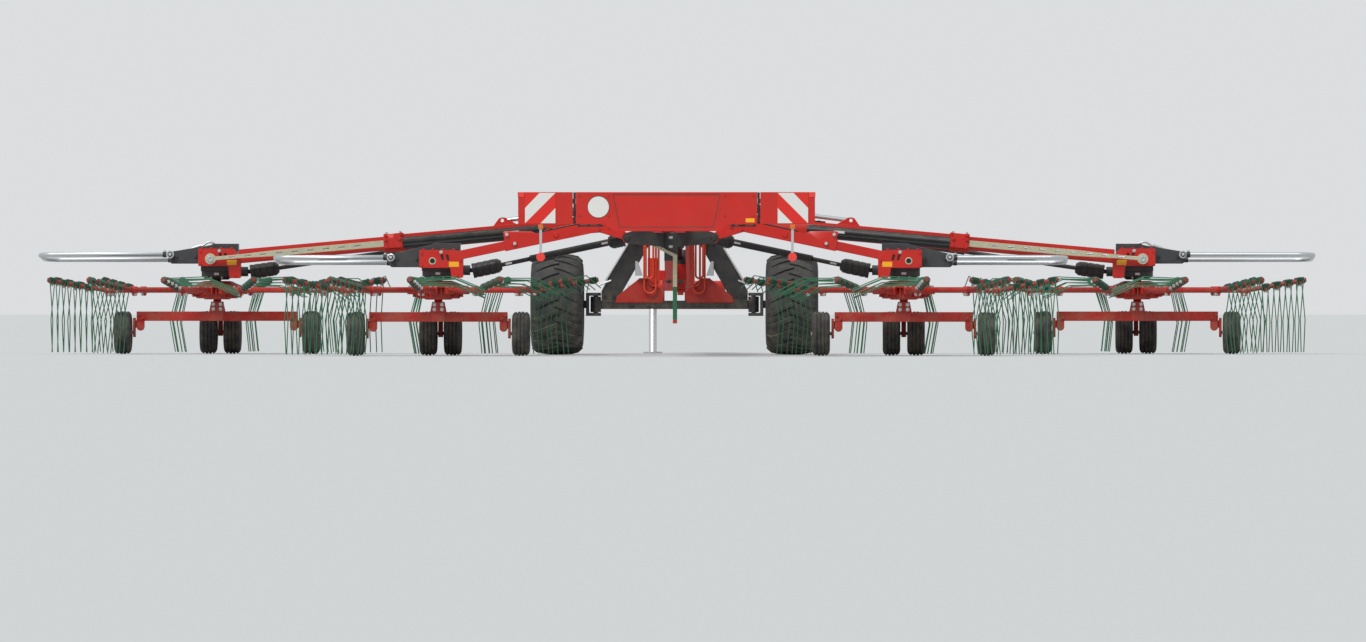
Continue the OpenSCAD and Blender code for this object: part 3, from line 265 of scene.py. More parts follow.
class Coat(Enum):
    """The rake's finishes."""

    # Baked enamel over primed steel: bright and glossy, with chips at the joints and dull dust below.
    RED = Finish("rake_red_enamel", "red_paint", "#cc1a0a", 0.38, coat=0.08, chips=0.05, dust=0.12)
    # The same enamel on the wheel beams, hubs and other low parts. It is duller, dustier and more chipped
    # from running in the crop, and its darker red is painted shade for parts that sit low and under others.
    SHADED_WORN_RED = Finish("shaded_worn_red_enamel", "red_paint", "#b01a0e", 0.45, coat=0.05, chips=0.12, dust=0.3,
                        low_dirt=0.3)
    # The same enamel on the tine arms' outer ends, rubbed and browned by dry grass.
    REEL_RED = Finish("browned_rotor_enamel", "red_paint", "#8e2c24", 0.55, chips=0.2, dust=0.7,
                      dust_colour="#6f5a45", low_dirt=0.2)
    # Satin chassis enamel on the axle.
    BLACK = Finish("black_chassis_enamel", "black_paint", "#1b1d20", 0.38, coat=0.2, chips=0.1, dust=0.3)
    # Sprayed grey-black paint on gearboxes and their carriers, with a faint orange peel.
    CASTING = Finish("dark_casting_paint", "dark_casting", "#383b3f", 0.5, dust=0.3, grain_mm=9.0, grain=0.25)
    # Hot-dip galvanised tube: pale, mottled with crystals.
    ZINC = Finish("galvanised_steel", "galvanised_steel", "#c9cac8", 0.58, metallic=0.12, spangle=0.14,
                  dust=0.12)
    # Bright zinc on bolts and pins.
    BRIGHT_ZINC = Finish("zinc_plated_fastener", "galvanised_steel", "#cfd1d1", 0.35, metallic=0.5, dust=0.12)
    # Hard chrome on piston rods: nearly a mirror, and hardly any dust holds on it.
    CHROME = Finish("hard_chrome_rod", "chrome_rod", "#d2d4d5", 0.22, metallic=0.9, shade=0.03, dust=0.05,
                    grain=0.02)
    # Vulcanised rubber, greyed by dust.
    RUBBER = Finish("tyre_rubber_dusty", "tyre_rubber", "#323335", 0.8, shade=0.15, dust=0.35,
                    dust_colour="#76705f", low_dirt=0.45, grain_mm=4.0, grain=0.35)
    # Moulded black polyethylene of the shaft guards and bells.
    PLASTIC = Finish("black_guard_plastic", "black_plastic", "#202225", 0.45, dust=0.22, grain_mm=3.0,
                     grain=0.15)
    # Green-coated spring steel of the tines.
    TINE = Finish("tine_green_spring_steel", "tine_green", "#176a48", 0.42, coat=0.05, chips=0.08, dust=0.3,
                  dust_colour="#6d6a4c", chip_colour="#8b8f86", low_dirt=0.15)
    # Their coils hold dry grass and dust, and look darker and browner.
    COIL = Finish("dusty_tine_coil", "tine_green", "#24523f", 0.55, chips=0.15, dust=0.6,
                  dust_colour="#5b5a45", chip_colour="#6d6f64")
    # Yellow-passivated zinc of the sliding guide bars.
    GUIDE = Finish("passivated_zinc_bar", "strap", "#c9c6a8", 0.45, metallic=0.25, spangle=0.12, dust=0.15)
    # Retro-reflecting sheet, white and red: smooth, flat in colour and almost clean.
    WHITE_SHEET = Finish("white_reflective_sheet", "marker_white", "#dddcd6", 0.35, dust=0.05, grain_mm=3.0,
                         shade=0.03)
    RED_SHEET = Finish("red_reflective_sheet", "red_paint", "#d81f14", 0.4, dust=0.05, grain_mm=3.0,
                       shade=0.04)
    # Moulded acrylic lamp lenses: glossy and deep in colour.
    AMBER = Finish("amber_lens", "lens_amber", "#e8701c", 0.2, coat=0.6, dust=0.05, shade=0.04)
    RED_LENS = Finish("red_lens", "lens_red", "#e8352c", 0.2, coat=0.6, dust=0.05, shade=0.04)
    # Blank vinyl film labels, with a dull sheen.
    YELLOW_FILM = Finish("yellow_blank_film", "label_yellow", "#f2b01e", 0.4, dust=0.08, shade=0.03)
    WHITE_FILM = Finish("white_blank_film", "marker_white", "#d6d6d2", 0.45, dust=0.12, shade=0.04)
    # Painted steel tubes of the hydraulics and rubber cable: near black, with a soft gloss.
    PIPE = Finish("hydraulic_pipe_black", "black_paint", "#17181a", 0.4, coat=0.15, dust=0.2)
    # Coloured rubber cover of the hoses behind the axle.
    ORANGE = Finish("orange_red_hose", "hose_orange", "#d8401f", 0.45, dust=0.12)


def at(x: float = 0.0, y: float = 0.0, z: float = 0.0) -> Matrix:
    """Matrix of a move along the axes."""
    return Matrix.Translation((x, y, z))


def turned(degrees: float, axis: str) -> Matrix:
    """Matrix of a turn round an axis."""
    return Matrix.Rotation(math.radians(degrees), 4, axis)


def turns_round(count: int, start: float = 0.0) -> list[Matrix]:
    """Matrices of equal turns round Z, from a share of the first step on."""
    return [Matrix.Rotation((i + start) * (math.tau / count), 4, "Z") for i in range(count)]


# Stands a plate up, so that its outline lies in X and Z and its thickness runs backwards.
STANDING = turned(90.0, "X")
# Lays along X what was turned round Z.
LENGTHWISE = turned(90.0, "Y")
MIRROR = Matrix.Scale(-1.0, 4, (1, 0, 0))

FORWARD, BACKWARD = (0, 1, 0), (0, -1, 0)
UP, DOWN = (0, 0, 1), (0, 0, -1)
SIDES = (-1, 1)
# Farther than any part of the rake.
FAR = 20.0
# Thickness of a blank label on a tube.
FILM = mm(1.2)


class Bench:
    """Blender's own modelling tools, each call leaving one finished mesh at the origin."""

    # Edges sharper than this are broken, in degrees between faces.
    new_edge_angle: float = 38.0
    cad_edge_angle: float = 50.0
    # Points nearer than this become one.
    new_merge: float = mm(0.01)
    cad_merge: float = mm(0.02)

    def clear(self) -> None:
        """Deselects everything, because an operator acts on all that is selected."""
        bpy.ops.object.select_all(action="DESELECT")

    def take(self, *things: Thing) -> None:
        """Selects only some objects.

        Args:
            things: the objects, the first of which becomes the active one.
        """
        self.clear()
        for thing in things:
            thing.select_set(True)
        bpy.context.view_layer.objects.active = things[0]

    @contextmanager
    def editing(self) -> Iterator[None]:
        """Holds the active mesh in edit mode, with all of it selected."""
        bpy.ops.object.mode_set(mode="EDIT")
        bpy.ops.mesh.select_all(action="SELECT")
        yield
        bpy.ops.object.mode_set(mode="OBJECT")

    def bevel(self, thing: Thing, width: float, angle: float, clamp: bool = True) -> None:
        """Breaks the sharp edges of the active object.

        Args:
            thing: the active object.
            width: width of the bevel, or 0 for none.
            angle: how sharp an edge has to be, in degrees between its faces.
            clamp: whether the bevel is held back where it would overlap itself.
        """
        if not width:
            return
        bpy.ops.object.modifier_add(type="BEVEL")
        bevel = thing.modifiers[-1]
        bevel.width, bevel.segments = width, 1
        bevel.limit_method, bevel.angle_limit = "ANGLE", math.radians(angle)
        bevel.use_clamp_overlap = clamp
        bpy.ops.object.modifier_apply(modifier=bevel.name)

    def settle(self, thing: Thing, edge: float = 0.0, smooth: float = 35.0, merge: bool = False) -> Thing:
        """Puts a new mesh's place into its points and rounds its edges.

        Args:
            thing: the object to settle.
            edge: width of the bevel on its sharp edges, or 0 for none.
            smooth: angle below which faces are shaded smooth, in degrees.
            merge: whether doubled points are merged and the faces turned outwards.

        Returns:
            The same object, at the origin.
        """
        self.take(thing)
        bpy.ops.object.transform_apply(location=True, rotation=True, scale=True)
        if merge:
            with self.editing():
                bpy.ops.mesh.remove_doubles(threshold=self.new_merge)
                bpy.ops.mesh.normals_make_consistent(inside=False)
        self.bevel(thing, edge, self.new_edge_angle)
        bpy.ops.object.shade_smooth_by_angle(angle=math.radians(smooth))
        return thing

    def block(self, low: Point, high: Point, edge: float = mm(3)) -> Thing:
        """Makes a box with broken edges.

        Args:
            low: its low corner.
            high: its high corner.
            edge: width of the bevel on its edges.

        Returns:
            The box.
        """
        self.clear()
        bpy.ops.mesh.primitive_cube_add(size=1.0, location=[(a + b) / 2 for a, b in zip(low, high)],
                                        scale=[abs(b - a) for a, b in zip(low, high)])
        return self.settle(bpy.context.object, edge)

    def rod(self, start: Point, end: Point, radius: float, sides: int = 20, edge: float = 0.0) -> Thing:
        """Makes a round bar.

        Args:
            start: middle of one end.
            end: middle of the other end.
            radius: its radius.
            sides: number of faces round it.
            edge: width of the bevel on its ends, or 0 for none.

        Returns:
            The bar.
        """
        self.clear()
        run = Vector(end) - Vector(start)
        bpy.ops.mesh.primitive_cylinder_add(vertices=sides, radius=radius, depth=run.length,
                                            location=(Vector(start) + Vector(end)) / 2,
                                            rotation=run.to_track_quat("Z", "Y").to_euler())
        return self.settle(bpy.context.object, edge)

    def curve(self, lines: Iterable[Sequence[Point]], kind: str = "POLY", closed: bool = True,
              flat: bool = False) -> Thing:
        """Starts a curve object.

        Args:
            lines: the points of each of its lines.
            kind: POLY for straight stretches, BEZIER for a smooth bend through the points.
            closed: whether each line's last point joins its first one.
            flat: whether the curve is a flat outline that can be filled.

        Returns:
            The curve, selected and active.
        """
        self.clear()
        bpy.ops.curve.primitive_bezier_curve_add()
        thing = bpy.context.object
        thing.data.dimensions = "2D" if flat else "3D"
        thing.data.splines.clear()
        for points in lines:
            line = thing.data.splines.new(kind)
            knots = line.bezier_points if kind == "BEZIER" else line.points
            knots.add(len(points) - 1)
            for knot, place in zip(knots, points):
                if kind == "BEZIER":
                    knot.co = place
                    knot.handle_left_type = knot.handle_right_type = "AUTO"
                else:
                    knot.co = (*place, 1.0)
            line.use_cyclic_u = closed
        return thing

    def lathe(self, profile: Sequence[Flat], steps: int = 40) -> Thing:
        """Spins a closed outline round Z.

        Args:
            profile: the outline's points, each a radius and a height.
            steps: number of faces round the axis.

        Returns:
            The turned mesh.
        """
        self.curve([[(radius, 0.0, height) for radius, height in profile]])
        bpy.ops.object.convert(target="MESH")
        with self.editing():
            bpy.ops.mesh.spin(steps=steps, angle=math.tau, center=(0, 0, 0), axis=UP)
        return self.settle(bpy.context.object, merge=True)

    def plate(self, outline: Sequence[Flat], thickness: float, y: float = 0.0,
              holes: Iterable[Sequence[Flat]] = (), edge: float = 0.0) -> Thing:
        """Cuts an upright plate.

        Args:
            outline: its outline in X and Z.
            thickness: how far it reaches backwards.
            y: where its front face stands.
            holes: the outlines of its holes.
            edge: width of the bevel on its edges, or 0 for none.

        Returns:
            The plate.
        """
        thing = self.curve([[(x, z, 0.0) for x, z in ring] for ring in (outline, *holes)], flat=True)
        thing.data.fill_mode, thing.data.extrude = "BOTH", thickness / 2
        bpy.ops.object.convert(target="MESH")
        bpy.context.object.location.z = thickness / 2
        return self.place(self.settle(bpy.context.object, edge, merge=True), at(y=y) @ STANDING)

    def tube(self, points: Sequence[Point], radius: float, sides: int = 8, bent: bool = False) -> Thing:
        """Draws a tube.

        Args:
            points: the points along it.
            radius: its radius.
            sides: number of faces round it.
            bent: whether it bends smoothly through the points or runs straight between them.

        Returns:
            The tube, with closed ends.
        """
        curve = self.curve([points], "BEZIER" if bent else "POLY", closed=False).data
        curve.resolution_u, curve.use_fill_caps = 5, True
        curve.bevel_depth, curve.bevel_resolution = radius, (sides - 4) // 2
        bpy.ops.object.convert(target="MESH")
        return self.settle(bpy.context.object, smooth=50.0, merge=True)

    def soften(self, node: Thing, edge: float) -> Thing:
        """Copies a CAD node, joins its loose triangles and breaks its edges.

        Args:
            node: the CAD node's object, which stays as it is.
            edge: width of the bevel, or 0 for none.

        Returns:
            The copy.
        """
        twin = bpy.data.objects.new(f"{node.name}_finished", node.data.copy())
        bpy.context.scene.collection.objects.link(twin)
        self.take(twin)
        with self.editing():
            bpy.ops.mesh.remove_doubles(threshold=self.cad_merge)
            bpy.ops.mesh.dissolve_limited(angle_limit=math.radians(0.6))
        self.bevel(twin, edge, self.cad_edge_angle, clamp=False)
        bpy.ops.object.shade_smooth_by_angle(angle=math.radians(30.0))
        return twin

    def cut(self, thing: Thing, point: Point, normal: Point) -> None:
        """Cuts a mesh's faces along a plane, so that a finish can change there.

        Args:
            thing: the object to cut.
            point: a point of the plane.
            normal: the direction across the plane.
        """
        self.take(thing)
        with self.editing():
            bpy.ops.mesh.bisect(plane_co=point, plane_no=normal)

    def place(self, thing: Thing, matrix: Matrix) -> Thing:
        """Moves a settled mesh's points.

        Args:
            thing: the object, which itself stays at the origin.
            matrix: the move, turn or mirroring.

        Returns:
            The same object.
        """
        thing.data.transform(matrix)
        if matrix.determinant() < 0:
            thing.data.flip_normals()
        return thing

    def copy(self, thing: Thing, matrix: Matrix) -> Thing:
        """Copies a mesh to another place.

        Args:
            thing: the object to copy.
            matrix: the move, turn or mirroring.

        Returns:
            The copy, with points of its own.
        """
        twin = thing.copy()
        twin.data = thing.data.copy()
        bpy.context.scene.collection.objects.link(twin)
        return self.place(twin, matrix)

    def stamp(self, thing: Thing, matrices: Iterable[Matrix]) -> Thing:
        """Repeats a mesh.

        Args:
            thing: the object, which is used up.
            matrices: one for each copy.

        Returns:
            The copies, joined into one mesh.
        """
        copies = [self.copy(thing, matrix) for matrix in matrices]
        bpy.data.objects.remove(thing)
        return self.join(copies)

    def join(self, things: Sequence[Thing]) -> Thing:
        """Joins meshes into the first one.

        Args:
            things: the objects, all but the first of which are used up.

        Returns:
            The first object.
        """
        if len(things) > 1:
            self.take(*things)
            bpy.ops.object.join()
        return things[0]

    def bolts(self, *groups: tuple[Iterable[Point], Point, float]) -> Thing:
        """Sets hexagon bolts with washers on faces.

        Args:
            groups: where each washer lies, the way the heads point, and a head's width over its corners.

        Returns:
            All bolts as one mesh.
        """
        made = []
        for places, facing, across in groups:
            r = across / 2
            head = self.rod((0, 0, 0.2 * r), (0, 0, 1.4 * r), r, sides=6)
            washer = self.rod((0, 0, -0.1 * r), (0, 0, 0.25 * r), 1.5 * r, sides=12)
            turn = Vector(facing).to_track_quat("Z", "Y").to_matrix().to_4x4()
            made.append(self.stamp(self.join([head, washer]), [at(*place) @ turn for place in places]))
        return self.join(made)


BENCH = Bench()


def sloped(x: float, y: float, z: float, degrees: float) -> Matrix:
    """A frame whose X runs outwards and down at an angle."""
    return at(x, y, z) @ turned(degrees, "Y")


FRONT_ARM = sloped(0.320, 1.415, 1.330, 5.05)
FRONT_BEAM = FRONT_ARM @ at(z=mm(-60))
REAR_ARM = sloped(0.400, -1.985, 1.090, 11.86)
REAR_BEAM = REAR_ARM @ at(z=mm(165))
FRONT_SHAFT = sloped(0.320, 1.650, 1.330, 8.3199)
REAR_SHAFT = sloped(0.400, -1.750, 1.090, 11.86)


def circle(x: float, y: float, radius: float, count: int, start: float = 0.0) -> list[Flat]:
    """Points of a circle, the first one at an angle in degrees."""
    angles = [math.radians(start) + i * math.tau / count for i in range(count)]
    return [(x + radius * math.cos(a), y + radius * math.sin(a)) for a in angles]


def rectangle(low: Flat, high: Flat) -> list[Flat]:
    """Corners of a rectangle, from its low one round."""
    return [low, (high[0], low[1]), high, (low[0], high[1])]


def rounded(corners: Sequence[Flat], radius: float, steps: int = 4) -> list[Flat]:
    """Rounds the corners of an outline.

    Args:
        corners: the sharp outline.
        radius: how far from each corner its round begins.
        steps: number of points on each round, less one.

    Returns:
        The rounded outline.
    """
    out = []
    for i, corner in enumerate(corners):
        here = Vector(corner)
        back = Vector(corners[i - 1]) - here
        ahead = Vector(corners[(i + 1) % len(corners)]) - here
        cut = min(radius, back.length * 0.45, ahead.length * 0.45)
        a, b = here + back.normalized() * cut, here + ahead.normalized() * cut
        for k in range(steps + 1):
            t = k / steps
            p = a * (1 - t) ** 2 + here * 2 * t * (1 - t) + b * t ** 2
            out.append((p.x, p.y))
    return out


def mirrored(outline: Sequence[Flat]) -> list[Flat]:
    """An upper half of a profile, followed by its mirror image below."""
    return [*outline, *((radius, -height) for radius, height in reversed(outline))]


@dataclass(frozen=True)
class Region:
    """A box in a frame of its own, whose faces get another finish."""

    coat: Coat
    low: Point
    high: Point
    frame: Matrix = field(default_factory=Matrix)

    def holds(self, point: Vector) -> bool:
        """Tells whether a point in the box's own frame lies in it."""
        return all(low <= value <= high for low, value, high in zip(self.low, point, self.high))


def paint(thing: Thing, coat: Coat, regions: Sequence[Region] = ()) -> None:
    """Gives a piece its finish.

    Args:
        thing: the piece.
        coat: its finish.
        regions: boxes with other finishes, of which a later one covers an earlier one.
    """
    thing.data.materials.clear()
    thing.data.materials.append(coat.value.material())
    for face in thing.data.polygons:
        face.material_index = 0
    for number, region in enumerate(regions, 1):
        thing.data.materials.append(region.coat.value.material())
        inwards = region.frame.inverted()
        for face in thing.data.polygons:
            if region.holds(inwards @ face.center):
                face.material_index = number


def hang(thing: Thing, name: str, body: str, replaces: Sequence[str]) -> None:
    """Names a painted piece and lets it ride on its CAD body.

    Args:
        thing: the piece.
        name: its name.
        body: the body that carries it.
        replaces: the CAD nodes that it takes the place of.
    """
    thing.name = thing.data.name = name
    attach(thing, body)
    if replaces:
        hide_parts(*replaces)
    LOG.info("%s rides on %s, %d faces", name, body, len(thing.data.polygons))


def dress_one(thing: Thing, name: str, body: str, coat: Coat, replaces: Sequence[str] = (),
              regions: Sequence[Region] = ()) -> None:
    """Paints one piece and hangs it on its body."""
    paint(thing, coat, regions)
    hang(thing, name, body, replaces)


def dress_both(thing: Thing, name: str, body: str, coat: Coat, frame: Matrix | None = None,
               replaces: Sequence[str] = (), regions: Sequence[Region] = ()) -> None:
    """Paints a right-hand piece and hangs it and its mirror image on their bodies.

    Args:
        thing: the right-hand piece.
        name: its name without the side.
        body: the bodies' name without the side, or the chassis, which has none.
        coat: its finish.
        frame: the frame that it was made in, if that isn't the rake's own.
        replaces: the CAD nodes that it takes the place of, without the side.
        regions: boxes with other finishes on the right-hand side.
    """
    if frame is not None:
        BENCH.place(thing, frame)
    paint(thing, coat, regions)
    twin = BENCH.copy(thing, MIRROR)
    for piece, side in ((thing, "right"), (twin, "left")):
        own = body if body == "chassis" else f"{body}_{side}"
        hang(piece, f"{name}_{side}", own, [f"{node}_{side}" for node in replaces])


def film(start: float, back: float, length: float, height: float) -> Thing:
    """Cuts a blank film label for the rear of a tube along X."""
    return BENCH.plate(rectangle((start, -height / 2), (start + length, height / 2)), FILM, back)


@dataclass(frozen=True)
class RotorPlace:
    """Where a right-hand rotor stands and how large it is."""

    end: str
    hub: Flat
    reach: float
    arms: int
    beam_half: float
    track: float
    box_top: float
    rise_top: float
    head_top: float
    hoop_z: float

    def dress(self, thing: Thing, name: str, body: str, coat: Coat, replaces: Sequence[str] = ()) -> None:
        """Dresses both sides with a piece made round the rotor's axis, under names without the arm's end."""
        dress_both(thing, f"{self.end}_{name}", f"{self.end}_{body}", coat, at(*self.hub),
                   [f"{self.end}_{node}" for node in replaces])


FRONT = RotorPlace(end="front", hub=(4.390, 1.650), reach=1.640, arms=12, beam_half=0.727, track=0.900,
                   box_top=0.988, rise_top=1.052, head_top=1.003, hoop_z=0.924)
REAR = RotorPlace(end="rear", hub=(2.160, -1.750), reach=1.475, arms=11, beam_half=0.600, track=0.768,
                  box_top=0.955, rise_top=1.045, head_top=0.980, hoop_z=0.888)


@dataclass
class Reel:
    """A tined rotor: hub and cover, arms with their knees, and the spring tines."""

    place: RotorPlace
    arm_z: float = mm(610)
    arm_r: float = mm(27)
    outer_arm_r: float = mm(21)
    hub_r: float = mm(205)
    cover_r: float = mm(250)
    bore: float = mm(39)
    section: float = mm(560)
    rise: float = 10.0
    pairs: int = 4
    pitch: float = mm(115)
    gap: float = mm(57)
    wire_r: float = mm(5)
    coil_r: float = mm(35)
    winding: float = mm(9)
    windings: int = 4
    tip_z: float = mm(15)
    # The arms whose direction lies between these two are turned up by the cam, all in degrees.
    lifted: Flat = (165.0, 300.0)
    lift: float = 76.0
    upper_lean: float = 14.0
    lower_lean: float = 8.0
    # How far arms and tines differ from each other, in degrees.
    play: float = 2.0
    stray: float = 2.2

    def build(self) -> None:
        """Makes the rotor's pieces and dresses them."""
        red = BENCH.join([self.hub(), self.inner_arms()])
        self.place.dress(red, "rotor_hub_and_arms", "rotor", Coat.SHADED_WORN_RED, ["rotor"])
        for make, name, coat in ((self.outer_arm, "arm_ends", Coat.REEL_RED),
                                 (self.wires, "tines", Coat.TINE), (self.coils, "coils", Coat.COIL)):
            self.place.dress(self.on_arms(make()), f"rotor_{name}", "rotor", coat)
        self.place.dress(self.fasteners(), "rotor_fasteners", "rotor", Coat.BRIGHT_ZINC)

    @property
    def knee(self) -> float:
        """Distance from the axis to the bend of an arm."""
        return self.place.reach - self.section * math.cos(math.radians(self.rise)) + mm(12)

    def turns(self) -> list[Flat]:
        """Lists each arm's direction and lift.

        Returns:
            Both in degrees. A direction of 0 points outwards, 90 forward and 180 inwards.
        """
        first, last = self.lifted
        found = []
        for i in range(self.place.arms):
            turn = (i + 0.5) * (360.0 / self.place.arms)
            lift = self.lift if first < turn < last else 0.0
            found.append((turn, lift + self.play * math.sin(2.4 * i)))
        return found

    def frame(self, turn: float) -> Matrix:
        """Matrix of an arm's inner end, at the height of the arms."""
        return turned(turn, "Z") @ at(z=self.arm_z)

    def on_arms(self, thing: Thing) -> Thing:
        """Repeats a mesh on the outer section of each arm.

        Args:
            thing: the mesh, made with the outer section along X.

        Returns:
            The copies round Z.
        """
        bend = at(self.knee) @ turned(-self.rise, "Y")
        return BENCH.stamp(thing, [self.frame(turn) @ bend @ turned(-lift, "X")
                                   for turn, lift in self.turns()])

    def hub(self) -> Thing:
        """Turns the hub drum with its flanges and the wide pressed cover over it.

        Returns:
            The hub round Z.
        """
        r, cover = self.hub_r, self.cover_r
        profile = [(self.bore, 0.520), (0.120, 0.520), (0.132, 0.530), (r - 0.012, 0.530), (r, 0.540),
                   (r, 0.625), (cover - 0.004, 0.630), (cover, 0.638), (cover - 0.012, 0.652), (0.185, 0.672),
                   (0.150, 0.690), (0.125, 0.696), (self.bore, 0.696)]
        rib = BENCH.block((r - 0.03, -0.004, 0.545), (cover - 0.012, 0.004, 0.632), mm(1))
        return BENCH.join([BENCH.lathe(profile, steps=48), BENCH.stamp(rib, turns_round(self.place.arms))])

    def inner_arms(self) -> Thing:
        """Makes the arms up to their knees: bearing block, tube, collar and clamp lug.

        Returns:
            The arms round Z.
        """
        root, knee = self.hub_r - 0.02, self.knee
        parts = [BENCH.rod((root, 0, 0), (knee + 0.004, 0, 0), self.arm_r, sides=16),
                 BENCH.block((root, -0.042, -0.040), (self.hub_r + 0.085, 0.042, 0.028), mm(6)),
                 BENCH.rod((knee - 0.075, 0, 0), (knee - 0.012, 0, 0), self.arm_r + 0.008, 16, mm(3)),
                 BENCH.block((knee - 0.070, -0.010, -0.055), (knee - 0.020, 0.010, 0.0))]
        return BENCH.stamp(BENCH.join(parts), [self.frame(turn) for turn, _ in self.turns()])

    def outer_arm(self) -> Thing:
        """Makes one arm's thinner outer section with the saddles that hold its tines.

        Returns:
            The section along X.
        """
        outer = BENCH.rod((-0.01, 0, 0), (self.section, 0, 0), self.outer_arm_r, sides=14, edge=mm(3))
        saddles = [BENCH.block((u - 0.016, -0.027, -0.034), (u + 0.016, 0.027, 0.004), mm(4))
                   for u in self.pair_places()]
        return BENCH.join([outer, *saddles])

    def pair_places(self) -> list[float]:
        """Lists the middle of each double tine along the outer section."""
        return [self.section - mm(22) - k * self.pitch - self.gap / 2 for k in range(self.pairs)]

    def tine_places(self) -> list[tuple[float, int]]:
        """Lists where each single tine stands along the outer section, and its side in the pair."""
        return [(middle + side * self.gap / 2, side) for middle in self.pair_places() for side in SIDES]

    def wires(self) -> Thing:
        """Makes one arm's tines."""
        return BENCH.join([self.wire(along, self.stray * math.sin(7.0 * i))
                           for i, (along, _) in enumerate(self.tine_places())])

    def coils(self) -> Thing:
        """Makes one arm's coils, wound round the outer section."""
        return BENCH.join([BENCH.place(self.coil(), at(along - side * mm(12)) @ LENGTHWISE)
                           for along, side in self.tine_places()])

    def coil(self) -> Thing:
        """Turns a coil as a ribbed sleeve, with few faces because there are hundreds.

        Returns:
            The coil round Z.
        """
        inside, valley, half = mm(23), mm(28), self.windings / 2
        profile = [(inside, -half * self.winding)]
        for i in range(self.windings):
            profile += [(valley, (i - half) * self.winding), (self.coil_r, (i + 0.5 - half) * self.winding)]
        profile += [(valley, half * self.winding), (inside, half * self.winding)]
        return BENCH.lathe(profile, steps=8)

    def wire(self, along: float, astray: float) -> Thing:
        """Draws one tine from its coil down to the ground, leaning back and then bent forward.

        Args:
            along: where it stands along the outer section.
            astray: how far it leans from the others, in degrees.

        Returns:
            The tine on the outer section along X.
        """
        drop = self.arm_z + along * math.sin(math.radians(self.rise)) - self.tip_z
        bend = drop * 0.55
        start_y = mm(-28)
        bend_y = start_y - bend * math.tan(math.radians(self.upper_lean + astray))
        tip_y = bend_y + (drop - bend) * math.tan(math.radians(self.lower_lean))
        points = [(0, start_y, 0), (0, start_y - 0.006, -0.06), (0, bend_y, -bend),
                  (0, bend_y + 0.25 * (tip_y - bend_y), -bend - 0.25 * (drop - bend)), (0, tip_y, -drop)]
        return BENCH.place(BENCH.tube(points, self.wire_r, sides=6), at(along) @ turned(self.rise, "Y"))

    def fasteners(self) -> Thing:
        """Sets the bolts of the hub, the knees and the tine clamps.

        Returns:
            The bolts round Z.
        """
        knee, root = self.knee - 0.045, self.hub_r
        block = [(root + u, v, 0.028) for u in (0.025, 0.065) for v in (-0.024, 0.024)]
        inner = BENCH.bolts(([(knee, 0.011, -0.038)], FORWARD, 0.026),
                            ([(knee, -0.011, -0.038)], BACKWARD, 0.026), (block, UP, 0.02))
        clamp = BENCH.bolts(([(u, 0, -0.034) for u in self.pair_places()], DOWN, 0.026))
        inner = BENCH.stamp(inner, [self.frame(turn) for turn, _ in self.turns()])
        return BENCH.join([inner, self.on_arms(clamp)])


@dataclass
class SmallWheels:
    """The four wheels below a rotor: one at each end of its beam, and twin wheels ahead."""

    place: RotorPlace
    radius: float = mm(205)
    half: float = mm(82.5)
    bore: float = mm(16.3)
    nuts: int = 4
    nuts_r: float = mm(62)
    twin_ahead: float = mm(620)
    twin_gap: float = mm(64)

    def build(self) -> None:
        """Makes the wheels and dresses them."""
        track = self.place.track
        twin = self.twin_gap / 2 + self.half
        for name, offsets in (("outer_wheel", [(track, 0.0)]), ("inner_wheel", [(-track, 0.0)]),
                              ("twin_wheels", [(-twin, self.twin_ahead), (twin, self.twin_ahead)])):
            spots = [at(x, y, self.radius) @ LENGTHWISE for x, y in offsets]
            self.place.dress(BENCH.stamp(self.tyre(), spots), f"{name}_tyre", name, Coat.RUBBER, [name])
            self.place.dress(BENCH.stamp(self.rim(), spots), f"{name}_rim", name, Coat.ZINC)

    def tyre(self) -> Thing:
        """Turns a ribbed implement tyre with round shoulders.

        Returns:
            The tyre round Z.
        """
        r, h = self.radius, self.half
        side = [(0.102, h - 0.024), (0.110, h - 0.014), (0.128, h - 0.004), (0.150, h), (0.172, h - 0.003),
                (0.188, h - 0.011), (r - 0.008, h - 0.022), (r - 0.003, h - 0.032)]
        ribs = [(r - 0.003, 0.042), (r - 0.011, 0.038), (r - 0.011, 0.031), (r - 0.001, 0.027), (r, 0.006),
                (r - 0.010, 0.003)]
        return BENCH.lathe(mirrored(side + ribs), steps=40)

    def rim(self) -> Thing:
        """Turns the pressed rim with its hub tube and cap.

        Returns:
            The rim round Z.
        """
        h = self.half
        profile = [(self.bore, -h + 0.010), (0.032, -h + 0.010), (0.032, -0.012), (0.060, -0.006),
                   (0.088, -0.020), (0.096, -h + 0.030), (0.106, -h + 0.022), (0.108, -h + 0.027),
                   (0.101, -h + 0.036), (0.098, 0.0), (0.101, h - 0.036), (0.108, h - 0.027),
                   (0.106, h - 0.022), (0.096, h - 0.030), (0.088, 0.000), (0.060, 0.012), (0.032, 0.008),
                   (0.032, h - 0.010), (self.bore, h - 0.010)]
        nuts = [(x, y, 0.012) for x, y in circle(0, 0, self.nuts_r, self.nuts)]
        return BENCH.join([BENCH.lathe(profile, steps=32), BENCH.bolts((nuts, UP, 0.018))])


